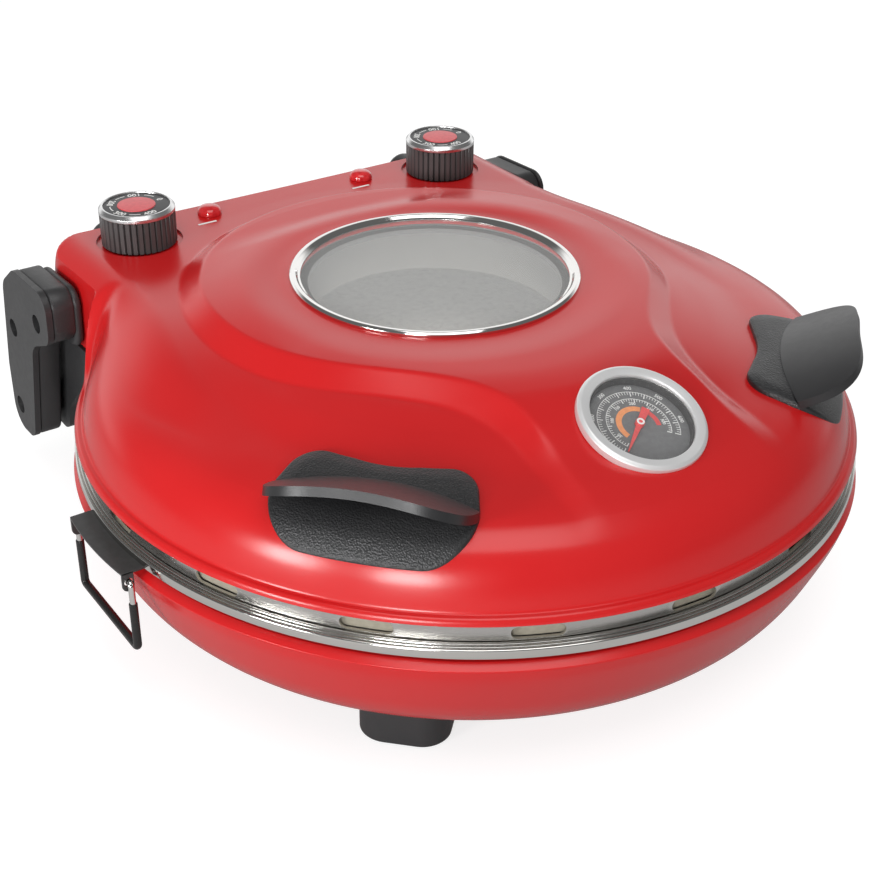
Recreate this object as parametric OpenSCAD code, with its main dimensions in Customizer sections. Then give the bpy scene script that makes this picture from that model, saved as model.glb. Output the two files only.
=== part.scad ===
/* [Rim] */
// Radius of the base pan's rolled chrome lip
rim_r = 174; // [160:0.5:190]
// Height of the underside of that lip above the table
rim_height = 74.5; // [66:0.5:90]
// Height of the lip's ridged top, at the lid seam
rim_h = 4; // [3.8:0.1:6]
// Gap at the seam between base and lid
seam_gap = 0.3; // [0.2:0.05:0.8]
// How far the lid's rim stands inside the lip
lid_inset = 0.9; // [0.5:0.1:2]
// Height of the lid's rim above the lip's underside
lid_rim_z = 11.4; // [11:0.1:14]
// How far the bowl's rim band stands outside the lip
bowl_outset = 4; // [3:0.1:6]

/* [Lid shell] */
// Sheet thickness of the lid
lid_wall = 1.8; // [1.4:0.1:2.2]
// Height of the flat rear panel
panel_z = 52.8; // [48:0.1:58]
// How far the rear housing's sides stand inside the rim's radius
panel_in = 48; // [42:0.5:56]
// How far the rear wall stands behind the rim
panel_back = 3; // [-2:0.5:8]
// Radius of the rear housing's corners in plan
panel_corner_r = 14; // [8:0.5:20]
// Height that the bell and its tongue are raised
bell_h = 6; // [3:0.1:8]
// How far the foot of the raised bell stands inside the rim's radius
bell_in = 62; // [60:0.5:68]
// Half width of the tongue that runs to the gauge, at its foot
tongue_half_w = 46; // [42:0.5:52]

/* [Window] */
// Distance of the window's centre behind the bowl's axis
window_y = 24.7; // [20:0.1:30]
// Outer radius of the chrome window ring
window_r = 65.1; // [60:0.1:68]
// Width of the chrome window ring
window_ring_w = 6.6; // [5:0.1:8]
// Thickness of the window glass
glass_t = 3; // [2.5:0.1:4]
// Height of the lid's surface round the window
window_seat_z = 61.2; // [58:0.1:63]

/* [Knobs and lights] */
// Distance of each knob's axis inside the housing's side
knob_in = 38.8; // [34:0.1:46]
// Distance of the knobs in front of the rear wall
knob_front = 28.3; // [25:0.1:33]
// Outer radius of a knob
knob_r = 18.1; // [16:0.1:20]
// Height of a knob
knob_h = 17.8; // [15:0.1:20]
// Number of grip ribs on a knob
knob_ribs = 48; // [36:1:60]
// Radius of the switch shaft
shaft_r = 3; // [2.5:0.1:3.5]
// Sideways distance of each pilot light from the middle
light_x = 44.3; // [38:0.1:50]
// Distance of the pilot lights in front of the rear wall
light_front = 17.3; // [14:0.1:23]
// Radius of a pilot light's lens
light_r = 6; // [5:0.1:7.5]
// Turning clearance of a shaft or pin in its bore
turn_gap = 0.06; // [0.03:0.01:0.09]

/* [Gauge] */
// Distance of the temperature gauge inside the rim's radius
gauge_in = 57.5; // [54:0.1:62]
// Forward tilt of the gauge
gauge_tilt = 22; // [18:0.5:26]
// Outer radius of the gauge's chrome bezel
gauge_r = 26.4; // [24:0.1:28]
// Length of the probe below the gauge's seat
probe_len = 22; // [18:0.5:26]

/* [Handles] */
// Angle of the left handle from the front
handle_angle_l = 49.5; // [45:0.5:52]
// Angle of the right handle from the front
handle_angle_r = 44.5; // [42:0.5:50]
// Half length of a handle's plate round the lid
handle_half_l = 41; // [36:0.5:44]
// Inset of the plate's upper edge from the lid's rim
handle_in = 45; // [44:0.5:52]
// Inset of the plate's lower edge from the lid's rim
handle_out = 8.5; // [8:0.5:14]
// Thickness of the plate
handle_t = 3.2; // [2.5:0.1:4]
// How far the finger fin stands out from its root
fin_reach = 33.3; // [26:0.1:38]
// Thickness of the fin
fin_t = 3.6; // [3:0.1:4.5]

/* [Hinge] */
// Distance of the hinge axis behind the rear wall
hinge_back = 9; // [6:0.5:11]
// Depth of the hinge axis below the lip
hinge_drop = 38; // [35:0.5:40]
// Radius of the hinge pins
pin_r = 4; // [3:0.1:5]
// Side gap between the rear housing and the hinge arms
arm_gap = 4; // [3:0.1:5]
// Thickness of a hinge arm without its cover
arm_t = 11.5; // [9:0.1:14]
// Thickness of the screwed cover on each arm
cover_t = 3; // [2.5:0.1:4]

/* [Base] */
// Depth of the bowl below the lip
bowl_depth = 54; // [48:0.5:58]
// Thickness of the bowl's sheet
bowl_wall = 1.4; // [1:0.1:2]
// Gap round the baking stone in its pan
stone_gap = 6.3; // [4:0.1:10]
// Thickness of the baking stone
stone_t = 10; // [8:0.1:12]
// Height of the stone's top above the lip's underside
stone_top = 3; // [1:0.1:4]
// Distance of each foot inside the bowl's rim band
foot_in = 53; // [50:0.5:63]
// Length of a foot round the bowl
foot_l = 38; // [32:0.5:42]
// Width of a foot across the bowl
foot_w = 29; // [24:0.5:32]
// Radius of the sheathed heating elements
element_r = 4; // [3:0.1:4.5]

/* [Clasps] */
// How far behind the bowl's axis a clasp sits
clasp_y = -3; // [-6:0.5:4]
// Distance between the two legs of a clasp
clasp_w = 52.6; // [46:0.1:58]
// Reach of a clasp from its pivot to its bar
clasp_drop = 30.6; // [30:0.1:33]
// Radius of the clasp's wire
wire_r = 1.3; // [1.2:0.05:1.5]
// Radius of the sleeves on the clasp
sleeve_r = 1.75; // [1.7:0.05:2.2]

/* [Hidden] */
SIDES = [["left", -1], ["right", 1]];
$fn = 96;

// ---- general sizes -------------------------------------------------------
fit = 0.3;                         // gap between neighbouring pieces
lid_r = rim_r - lid_inset;
bowl_r = rim_r + bowl_outset;
liner_r = rim_r - 4;               // outside of the slotted wall
pan_t = 1.2;
pan_in_r = rim_r - 7.7;
stone_r = pan_in_r - stone_gap;
panel_half_w = rim_r - panel_in;
panel_rear_y = rim_r + panel_back;
hinge_y = panel_rear_y + hinge_back;
hinge_z = -hinge_drop;
rear_reach = hinge_y + 9;          // rearmost point of the hinge arms
front_reach = bowl_r;
centre_y = (rear_reach - front_reach) / 2;

// ---- general helpers -----------------------------------------------------
function mix(a, b, t) = a + (b - a) * t;
function clamp01(t) = max(0, min(1, t));
function ease(t) = let (c = clamp01(t)) c * c * (3 - 2 * c);
// smooth maximum of a and b with a blend of size k
function smax(a, b, k) = let (h = clamp01(0.5 + (a - b) / (2 * k))) mix(b, a, h) + k * h * (1 - h);
function smin(a, b, k) = -smax(-a, -b, k);
function unit(v) = v / norm(v);

// corner i of a path of [x, y, radius] as an arc of n steps
function corner(path, i, n) =
    let (count = len(path))
    let (p = [path[i][0], path[i][1]], r = path[i][2])
    let (before = path[(i + count - 1) % count], after = path[(i + 1) % count])
    let (u = unit([before[0], before[1]] - p), v = unit([after[0], after[1]] - p))
    let (half = acos(u * v) / 2, reach = r / tan(half))
    let (a = p + u * reach, b = p + v * reach, centre = p + unit(u + v) * r / sin(half))
    let (a0 = atan2(a[1] - centre[1], a[0] - centre[0]))
    let (a1 = atan2(b[1] - centre[1], b[0] - centre[0]))
    let (turn = a1 - a0 > 180 ? a1 - a0 - 360 : (a1 - a0 < -180 ? a1 - a0 + 360 : a1 - a0))
    [for (k = [0:n]) centre + r * [cos(a0 + turn * k / n), sin(a0 + turn * k / n)]];

// path of [x, y, radius] with rounded corners
function rounded(path, n = 6) = [for (i = [0:len(path) - 1]) each corner(path, i, n)];

module rounded_bar(length, width, r) {
    polygon(rounded([
        [-length / 2, -width / 2, r], [length / 2, -width / 2, r],
        [length / 2, width / 2, r], [-length / 2, width / 2, r]
    ]));
}

module ring(r_out, r_in, z0, z1) {
    difference() {
        translate([0, 0, z0]) cylinder(r = r_out, h = z1 - z0);
        translate([0, 0, z0 - 1]) cylinder(r = r_in, h = z1 - z0 + 2);
    }
}

// The model is built round the bowl's axis with z = 0 under the chrome lip.
module at_rim() translate([0, -centre_y, rim_height]) children();
module at_knob(side) translate([side * knob_x, knob_y, panel_z]) children();
module at_gauge() translate([0, -gauge_y, gauge_seat_z]) rotate([gauge_tilt, 0, 0]) children();
module along_x(x0, x1, y, z, r) translate([x0, y, z]) rotate([0, 90, 0]) cylinder(r = r, h = x1 - x0);

// ---- lid surface ---------------------------------------------------------
bell_r = rim_r - bell_in;
window_hole_r = window_r - 3.5;
gauge_y = rim_r - gauge_in;
knob_x = panel_half_w - knob_in;
knob_y = panel_rear_y - knob_front;
light_y = panel_rear_y - light_front;
// Round part of the lid: inset from the rim and height above it
DOME = [
    [0, 0], [0.4, 1.4], [1.6, 2.7], [3.3, 3], [4.6, 7.5], [6.8, 14], [9.8, 19.6], [14.2, 24.6],
    [21, 28.6], [32, 31.6], [48, 34.6], [67, 40], [83, 43.4], [98, 44.6], [120, 45]
];
FLARE_START = panel_rear_y - 77;   // y where the panel starts to flare outward
FLARE_LENGTH = 95;
FLARE_W = 14;
PANEL_FRONT_Y = 36;                // y where the panel starts to fall to the front
function dome_z(r) = lid_rim_z + lookup(lid_r - r, DOME);

// half width of the panel at distance y
function panel_w(y) = panel_half_w - 4 + FLARE_W * ease((FLARE_START - y) / FLARE_LENGTH);
// 1 where the lid's outline is the rear housing, 0 where it is the circle
function rear_share(y) = ease((y - FLARE_START + 5) / 20);
function panel_top(x, y, d) =
    panel_z - 1.35 * max(0, abs(x) - panel_w(y)) - 0.3 * max(0, PANEL_FRONT_Y - y)
    - 2.2 * max(0, 12 - d) * (1 - rear_share(y));

// depth inside the bell's outline: round the window and down the tongue
function bell_depth(x, y) =
    smax(bell_r - norm([x, y - window_y]), min(tongue_half_w - abs(x), 20 - y), 16);
BELL_SLOPE = 11;                   // width of the slope up to the bell
function bell_fade(y) = ease((y + 152) / 75);
// crisp at the foot, smooth at the crest
function crest(t) = let (c = clamp01(t)) mix(1 - (1 - c) * (1 - c), ease(c), 0.35);
function bell_z(x, y) = bell_h * crest(bell_depth(x, y) / BELL_SLOPE) * bell_fade(y);

// outline of the lid in plan: circle in front, rounded housing behind
function housing_reach(a) =
    let (c = abs(cos(a)), s = sin(a), w = panel_half_w, d = panel_rear_y, q = panel_corner_r)
    let (m = [w - q, d - q], b = c * m[0] + s * m[1])
    let (corner_reach = b + sqrt(max(0, b * b - m * m + q * q)))
    s <= 0.05 ? 0 :
    (w * s / max(c, 0.001) < d - q ? w / max(c, 0.001) :
    (d * c / s < w - q ? d / s : corner_reach));
function outline_r(a) = smax(lid_r, housing_reach(a), 1.5);

// rounded edge of the rear housing at inset d
EDGE_W = 10;
function edge_z(d) = lid_rim_z + (panel_z - lid_rim_z + 1) * pow(1 - pow(1 - clamp01(d / EDGE_W), 3), 0.36);
function lid_z(x, y, d) =
    let (top = smax(dome_z(norm([x, y])), panel_top(x, y, d), 4))
    let (near = ease((window_r + 24 - norm([x, y - window_y])) / 20))
    let (z = mix(top + bell_z(x, y), window_seat_z, near))
    min(z, mix(z, edge_z(d), rear_share(y)));
gauge_seat_z = lid_z(0, -gauge_y, 99) + 1.2;

// Each ray from the lid's axis is sampled at the rim's insets, twice on the way to the bell, at
// the bell's own depths, and on the way from there to the window.
RIM_INSETS = [for (p = DOME) if (p[0] <= 21) p[0]];
BELL_DEPTHS = [0, 2.2, 4.6, 7.6, 11];
// The housing's corners are sampled at half steps
ANGLES = [for (a = [0:2.5:357.5]) if (a % 5 == 0 || (abs(abs(a - 90) - 35) < 16)) a];
// distance along a ray to where the bell has the given depth
function bell_reach(a, depth, low = 40, high = 260, n = 16) =
    let (m = (low + high) / 2)
    n == 0 ? m : (bell_depth(m * cos(a), m * sin(a)) > depth ? bell_reach(a, depth, m, high, n - 1) :
    bell_reach(a, depth, low, m, n - 1));
// distance along a ray to a circle round the window
function window_reach(a, r) = window_y * sin(a) + sqrt(r * r - pow(window_y * cos(a), 2));
function ray_stops(a) =
    let (out = outline_r(a), r0 = out - RIM_INSETS[len(RIM_INSETS) - 1])
    let (bell = [for (j = [0:len(BELL_DEPTHS) - 1]) min(bell_reach(a, BELL_DEPTHS[j]), r0 - 6 - 6 * j)])
    let (last = bell[len(bell) - 1], w = window_reach(a, window_r + 1.2))
    concat(
        [for (d = RIM_INSETS) out - d], [mix(r0, bell[0], 1 / 3), mix(r0, bell[0], 2 / 3)], bell,
        [for (k = [1:4]) mix(last, w, k / 4)], [window_reach(a, window_hole_r - 2)]
    );
STOPS = [for (a = ANGLES) ray_stops(a)];
function lid_point(i, row) =
    let (a = ANGLES[i], r = STOPS[i][row], d = STOPS[i][0] - r)
    let (x = r * cos(a), y = r * sin(a))
    [x, y, row == 0 ? lid_rim_z : lid_z(x, y, d)];
function inner_point(p) =
    let (r = norm([p[0], p[1]]), k = (r - lid_wall) / r)
    [p[0] * k, p[1] * k, max(lid_rim_z, p[2] - lid_wall)];

module lid_blank() {
    rows = len(STOPS[0]);
    sectors = len(ANGLES);
    outer = [for (row = [0:rows - 1]) for (i = [0:sectors - 1]) lid_point(i, row)];
    inner = [for (p = outer) inner_point(p)];
    count = rows * sectors;
    top = 2 * count;
    points = concat(outer, inner, [[0, 0, window_seat_z], [0, 0, window_seat_z - lid_wall]]);
    faces = concat(
        [for (j = [0:rows - 2]) for (i = [0:sectors - 1])
            let (n = (i + 1) % sectors, a = j * sectors + i, b = j * sectors + n)
            each [[a, a + sectors, b], [b, a + sectors, b + sectors]]],
        [for (j = [0:rows - 2]) for (i = [0:sectors - 1])
            let (n = (i + 1) % sectors, a = count + j * sectors + i, b = count + j * sectors + n)
            each [[a, b, a + sectors], [b, b + sectors, a + sectors]]],
        [for (i = [0:sectors - 1]) let (n = (i + 1) % sectors)
            each [[i, n, count + i], [n, count + n, count + i]]],
        [for (i = [0:sectors - 1]) let (n = (i + 1) % sectors, a = (rows - 1) * sectors)
            [a + i, top, a + n]],
        [for (i = [0:sectors - 1]) let (n = (i + 1) % sectors, a = count + (rows - 1) * sectors)
            [a + i, a + n, top + 1]]
    );
    polyhedron(points = points, faces = faces, convexity = 6);
}

// A tube of the lid's own space above the gauge, window, knobs and lights is cut away
module lid_shell() color("firebrick") at_rim() difference() {
    union() {
        lid_blank();
        at_gauge() translate([0, 0, -8]) cylinder(r = gauge_r + 1.5, h = 8);
    }
    translate([0, window_y, 0]) cylinder(r = window_hole_r, h = 100);
    translate([0, window_y, window_seat_z]) cylinder(r = window_r + 1, h = 10);
    at_gauge() cylinder(r = gauge_r + 1.5, h = 12);
    at_gauge() translate([0, 0, -30]) cylinder(r = gauge_case_r + fit, h = 60);
    for (s = [-1, 1]) {
        at_knob(s) translate([0, 0, -10]) cylinder(r = neck_r + fit, h = 20);
        at_knob(s) ring(knob_r + 2.6, knob_r + 1.1, -0.7, 5);
        translate([s * light_x, light_y, panel_z - 10]) cylinder(r = light_r - 1.6, h = 20);
        mirror([s < 0 ? 1 : 0, 0, 0]) along_x(panel_half_w - 12, panel_half_w + 2, collar_y, collar_z, screw_r + fit);
    }
}

// ---- liner ---------------------------------------------------------------
liner_t = 1.2;
gauge_case_r = gauge_r - 4.9;
neck_r = 5;
element_ring_r = rim_r - 49;
seam_z = rim_h + seam_gap;
// Upper face of the liner: inset from its wall and height above the lid's rim
LINER = [[3, 0.2], [5, 3.6], [8.5, 8.6], [14, 14.6], [22, 19.6], [32, 22.6], [50, 25.1], [70, 26.6]];
liner_top_z = lid_rim_z + LINER[len(LINER) - 1][1];
collar_top = window_seat_z - glass_t - 2.4;
top_element_z = liner_top_z - 11;
slot_count = 17;
slot_w = 22;
slot_h = 4.4;
slot_angle = 244;

module slot_cutters() {
    pitch = 360 / slot_count;
    for (k = [0:slot_count - 1])
        rotate([0, 0, slot_angle + k * pitch]) translate([liner_r - 8, 0, seam_z + 0.5 + slot_h / 2])
            rotate([90, 0, 90]) linear_extrude(16) rounded_bar(slot_w, slot_h, slot_h / 2 - 0.05);
}

module lid_liner() color("silver") at_rim() difference() {
    union() {
        rotate_extrude($fn = 180) polygon(concat(
            [[liner_r - liner_t, seam_z], [liner_r, seam_z], [liner_r, lid_rim_z - 0.9]],
            [[lid_r - 0.9, lid_rim_z - 0.9], [lid_r - 0.9, lid_rim_z - fit], [liner_r - 1.6, lid_rim_z - fit]],
            [for (p = LINER) [liner_r - p[0], lid_rim_z + p[1]]],
            [[window_hole_r - 2, liner_top_z], [window_hole_r - 2, liner_top_z - liner_t]],
            [for (i = [len(LINER) - 1:-1:0]) [liner_r - LINER[i][0] - 0.9, lid_rim_z + LINER[i][1] - liner_t]],
            [[liner_r - liner_t, lid_rim_z - 1.4]]
        ));
        translate([0, window_y, 0]) ring(window_hole_r - 2, window_hole_r - 3.2, liner_top_z - liner_t, collar_top);
        translate([0, window_y, 0]) ring(window_hole_r + 34, window_hole_r - 3.2, liner_top_z - liner_t, liner_top_z);
    }
    translate([0, window_y, 0]) cylinder(r = window_hole_r - 3.2, h = 90);
    slot_cutters();
    for (s = [-1, 1]) translate([s * leg_x, leg_y, 0]) cylinder(r = element_r + fit, h = 90);
    at_gauge() translate([0, 0, -60]) cylinder(r = probe_r + fit, h = 60);
}

// closes the housing's corners from below
module lid_floor_plate() color("dimgray") at_rim() translate([0, 0, lid_rim_z]) linear_extrude(1.2) difference() {
    polygon([for (a = ANGLES) (outline_r(a) - lid_wall - fit - 0.8) * [cos(a), sin(a)]]);
    circle(r = lid_r - lid_wall, $fn = 180);
}

// ---- heating elements ----------------------------------------------------
leg_gap = 12;                      // angle from the rear to each end of an element's ring
leg_x = element_ring_r * sin(leg_gap);
leg_y = element_ring_r * cos(leg_gap);
module element_ring(r) rotate([0, 0, 90 + leg_gap]) rotate_extrude(angle = 360 - 2 * leg_gap, $fn = 120)
    translate([r, 0]) circle(r = element_r, $fn = 32);

module top_element() color("gray") at_rim() {
    translate([0, 0, top_element_z]) element_ring(element_ring_r);
    for (s = [-1, 1]) translate([s * leg_x, leg_y, top_element_z]) {
        sphere(r = element_r + 0.15, $fn = 32);
        cylinder(r = element_r, h = 16, $fn = 32);
    }
}

module clip(z_plate, z_element, up) {
    gap = fit;
    low = up ? z_element + element_r + gap : z_plate;
    high = up ? z_plate : z_element - element_r - gap;
    translate([0, 0, low]) cylinder(r = 3.2, h = high - low, $fn = 32);
    translate([-1.5, -element_r - 3, z_element - element_r - 0.8]) difference() {
        cube([3, 2 * element_r + 6, 2 * element_r + 1.6]);
        translate([-1, 3 - gap, 0.8 - gap]) cube([5, 2 * element_r + 2 * gap, 2 * element_r + 2 * gap]);
    }
}
CLIP_ANGLES = [170, 230, 310, 10];
module top_element_clips() color("silver") at_rim() for (a = CLIP_ANGLES)
    rotate([0, 0, a]) translate([element_ring_r, 0, 0]) rotate([0, 0, 90])
        clip(lid_rim_z + lookup(liner_r - element_ring_r, LINER) - liner_t - 0.8, top_element_z, true);

module bottom_element() color("gray") at_rim() {
    translate([0, 0, low_element_z]) element_ring(element_ring_r);
    for (s = [-1, 1]) translate([s * leg_x, leg_y, low_element_z]) {
        sphere(r = element_r + 0.15, $fn = 32);
        rotate([-90, 0, 0]) cylinder(r = element_r, h = 38, $fn = 32);
    }
}
module bottom_element_clips() color("silver") at_rim() for (a = CLIP_ANGLES)
    rotate([0, 0, a]) translate([element_ring_r, 0, 0]) rotate([0, 0, 90])
        clip(pan_floor_z, low_element_z, false);

// ---- window --------------------------------------------------------------
module window_ring() color("gainsboro") at_rim() translate([0, window_y, window_seat_z]) rotate_extrude($fn = 180)
    polygon([
        [window_r - window_ring_w, 0], [window_r, 0], [window_r, 0.8], [window_r - 0.8, 1.7], [window_r - 2, 2],
        [window_r - window_ring_w + 1.6, 2], [window_r - window_ring_w + 0.4, 1.5], [window_r - window_ring_w, 0.8]
    ]);
module window_glass() color([0.8, 0.85, 0.85, 0.35]) at_rim() translate([0, window_y, window_seat_z - glass_t])
    cylinder(r = window_hole_r - fit, h = glass_t, $fn = 180);
module window_gasket() color("black") at_rim() translate([0, window_y, 0])
    ring(window_hole_r - fit, window_hole_r - 4.6, collar_top, window_seat_z - glass_t, $fn = 180);

// ---- gauge ---------------------------------------------------------------
probe_r = 3;
case_depth = 9;
module gauge_bezel() color("gainsboro") at_rim() at_gauge() rotate_extrude() polygon([
    [gauge_case_r + 0.3, 0], [gauge_r, 0], [gauge_r, 2], [gauge_r - 1, 3.4], [gauge_r - 3, 4.2],
    [gauge_r - 6, 4], [gauge_r - 7, 3.3], [gauge_case_r + 0.3, 3.3]
]);
module gauge_case() color("silver") at_rim() at_gauge() difference() {
    translate([0, 0, -case_depth]) cylinder(r = gauge_case_r, h = case_depth + 2.1);
    translate([0, 0, -1.4]) cylinder(r = gauge_case_r - 0.7, h = 10);
}
module gauge_dial() color("black") at_rim() at_gauge() translate([0, 0, -1.4])
    cylinder(r = gauge_case_r - 1, h = 0.8);
module gauge_glass() color([0.8, 0.85, 0.85, 0.35]) at_rim() at_gauge() translate([0, 0, 2.1])
    cylinder(r = gauge_case_r, h = 1.1);
module gauge_probe() color("silver") at_rim() at_gauge() {
    translate([0, 0, -case_depth - probe_len]) cylinder(r = probe_r, h = probe_len);
}
POINTER_REST = 236;                // direction of the pointer when cold
module gauge_pointer() color("red") at_rim() at_gauge() translate([0, 0, -0.3]) {
    cylinder(r = 2.6, h = 1.7);
    rotate([0, 0, POINTER_REST]) translate([0, 0, 0.5]) linear_extrude(0.5)
        polygon([[-6, -1.5], [-6, 1.5], [0, 1.3], [gauge_case_r - 5, 0.4], [gauge_case_r - 5, -0.4], [0, -1.3]]);
}

// ---- handles -------------------------------------------------------------
HANDLE_MID_R = lid_r - (handle_in + handle_out) / 2;
module under_dome(gap) rotate_extrude($fn = 180) polygon(concat(
    [[0, 0], [lid_r, 0]],
    [for (p = DOME) [lid_r - p[0], lid_rim_z + p[1] + gap]],
    [[0, lid_rim_z + 45 + gap]]
));
// cuts each side of a path into steps of about 5 mm
function in_steps(path) = [for (i = [0:len(path) - 1])
    let (a = path[i], b = path[(i + 1) % len(path)], n = max(1, round(norm(b - a) / 5)))
    for (k = [0:n - 1]) mix(a, b, k / n)];
// plate outline in [distance round the lid, radius], bent round the lid's axis
function bend(p) = p[1] * [sin(p[0] / HANDLE_MID_R * 180 / PI), -cos(p[0] / HANDLE_MID_R * 180 / PI)];
module plate_outline() polygon([for (p = in_steps(rounded([
    [-handle_half_l, lid_r - handle_in, 12], [0, lid_r - handle_in + 3, 60], [handle_half_l, lid_r - handle_in, 12],
    [handle_half_l, lid_r - handle_out, 18], [-handle_half_l, lid_r - handle_out, 18]
]))) bend(p)]);

FIN_TILT = 24.6;
FIN_HALF_L = 40;
FIN_BOW = 7.25;                    // how far the fin's root bows towards the window
fin_root_r = lid_r - 37;
fin_root_z = dome_z(fin_root_r) + handle_t;
fin_droop = fin_root_z - dome_z(norm([fin_root_r + FIN_BOW, FIN_HALF_L])) - handle_t;
// plan of the fin from its bowed root: full reach in the middle, running out at both ends
module fin_plan() polygon(concat(
    [for (k = [-24:24]) let (u = k / 24) [FIN_HALF_L * u, -FIN_BOW * u * u - fin_reach * pow(1 - pow(abs(u), 3.2), 0.4) - 0.3]],
    [for (k = [12:-1:-12]) let (u = k / 12) [FIN_HALF_L * u, 3 - FIN_BOW * u * u]]
));
// section of the fin along the lid, arched down to both ends
function arch_z(u) = -fin_droop * u * u;
module fin_arch() polygon(concat(
    [for (k = [-12:12]) [FIN_HALF_L * k / 11.5, arch_z(k / 11.5)]],
    [for (k = [12:-1:-12]) [FIN_HALF_L * k / 11.5, arch_z(k / 11.5) - fin_t]]
));
module handle(side, angle) at_rim() rotate([0, 0, side * angle]) {
    intersection() {
        difference() {
            under_dome(handle_t);
            under_dome(fit);
        }
        linear_extrude(200) plate_outline();
    }
    difference() {
        translate([0, -fin_root_r, fin_root_z + 0.4]) rotate([-FIN_TILT, 0, 0]) intersection() {
            translate([0, 0, -20]) linear_extrude(40) fin_plan();
            translate([0, 40, 0]) rotate([90, 0, 0]) linear_extrude(100) fin_arch();
        }
        under_dome(handle_t - 0.6);
    }
}
module handle_left() color([0.15, 0.15, 0.15]) handle(-1, handle_angle_l);
module handle_right() color([0.15, 0.15, 0.15]) handle(1, handle_angle_r);

// ---- rear rests ----------------------------------------------------------
REST_X = panel_half_w - 38;
REST_R = 9.5;
REST_L = 13;
module rest(side) color([0.12, 0.12, 0.12]) at_rim() translate([side * REST_X, panel_rear_y + fit, panel_z - 13])
    rotate([-90, 0, 0]) rotate_extrude() polygon(concat([[0, 0], [REST_R, 0]],
        [for (k = [0:8]) [REST_R - 4 + 4 * cos(k * 11.25), REST_L - 4 + 4 * sin(k * 11.25)]], [[0, REST_L]]));
module rest_left() rest(-1);
module rest_right() rest(1);

// ---- hinges --------------------------------------------------------------
collar_y = panel_rear_y - 32;
collar_z = lid_rim_z + 13.1;
collar_r = 13.2;
screw_r = 1.8;
screw_head_r = 3.6;
arm_x = panel_half_w + arm_gap;
cover_x = arm_x + arm_t;
housing_x = panel_half_w + 1.2;
ARM = [
    [collar_y - 15.5, collar_z + 19.5, 9], [panel_rear_y - 7, collar_z + 18, 5], [hinge_y + 0.5, collar_z + 6, 7],
    [hinge_y + 9, hinge_z + 20, 12], [hinge_y + 9, hinge_z - 13.5, 12], [hinge_y - 15.5, hinge_z - 12.5, 6],
    [collar_y + 10.5, collar_z - 16, 4], [collar_y - 14, collar_z - 5, 9]
];
SCREWS = [[hinge_y - 6, hinge_z + 46], [collar_y, collar_z]];
module on_side(side) at_rim() mirror([side < 0 ? 1 : 0, 0, 0]) children();
// a plate of the arm's outline from x0 to x1
module arm_plate(x0, x1) translate([x0, 0, 0]) rotate([90, 0, 90]) linear_extrude(x1 - x0) polygon(rounded(ARM, 8));

module hinge_arm(side) color([0.25, 0.25, 0.25]) on_side(side) difference() {
    union() {
        arm_plate(arm_x, cover_x);
        along_x(panel_half_w + fit, arm_x + 1, collar_y, collar_z, collar_r);
    }
    for (p = SCREWS) {
        along_x(panel_half_w - 1, cover_x + 1, p[0], p[1], screw_r + 0.05);
        along_x(cover_x - 4, cover_x + 1, p[0], p[1], screw_head_r + 0.3);
    }
    along_x(arm_x - 1, cover_x + 1, hinge_y, hinge_z, pin_r + turn_gap);
    along_x(cover_x - 4, cover_x + 1, hinge_y, hinge_z, pin_r + 2.5);
}
module hinge_cover(side) color([0.3, 0.3, 0.3]) on_side(side) difference() {
    arm_plate(cover_x, cover_x + cover_t);
    for (p = concat(SCREWS, [[hinge_y, hinge_z]]))
        along_x(cover_x - 1, cover_x + cover_t + 1, p[0], p[1], screw_head_r + 0.3);
}
module hinge_screws(side) color("black") on_side(side) for (p = SCREWS) {
    long = p == SCREWS[1];
    along_x(cover_x - 4, cover_x - 1.5, p[0], p[1], screw_head_r);
    along_x(long ? panel_half_w - 7 : arm_x + 1, cover_x - 4, p[0], p[1], screw_r);
}
module hinge_pins() color("silver") for (s = [-1, 1]) on_side(s) {
    along_x(housing_x - 10, cover_x - 3.7, hinge_y, hinge_z, pin_r);
    along_x(cover_x - 3.7, cover_x - 1.2, hinge_y, hinge_z, pin_r + 2);
}
module hinge_arm_left() hinge_arm(-1);
module hinge_arm_right() hinge_arm(1);
module hinge_cover_left() hinge_cover(-1);
module hinge_cover_right() hinge_cover(1);
module hinge_screws_left() hinge_screws(-1);
module hinge_screws_right() hinge_screws(1);

// ---- lights, switches and knobs ------------------------------------------
module pilot_light(side) color("red") at_rim() translate([side * light_x, light_y, panel_z + 0.05]) {
    rotate_extrude() polygon(concat([[0, 0], [light_r, 0], [light_r, 1.4]],
        [for (k = [1:8]) [(light_r - 0.6) * cos(k * 11.25), 1.4 + 3 * sin(k * 11.25)]]));
    translate([0, 0, -9]) cylinder(r = light_r - 2, h = 9.5);
}
module pilot_light_left() pilot_light(-1);
module pilot_light_right() pilot_light(1);

module heat_switch(side) color("dimgray") at_rim() at_knob(side) difference() {
    union() {
        translate([-15, -13, -lid_wall - 0.2 - 17]) cube([30, 26, 17]);
        translate([0, 0, -6]) cylinder(r = neck_r, h = 7.5);
    }
    translate([0, 0, -12]) cylinder(r = shaft_r + turn_gap, h = 20);
}
module heat_switch_left() heat_switch(-1);
module heat_switch_right() heat_switch(1);

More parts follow.
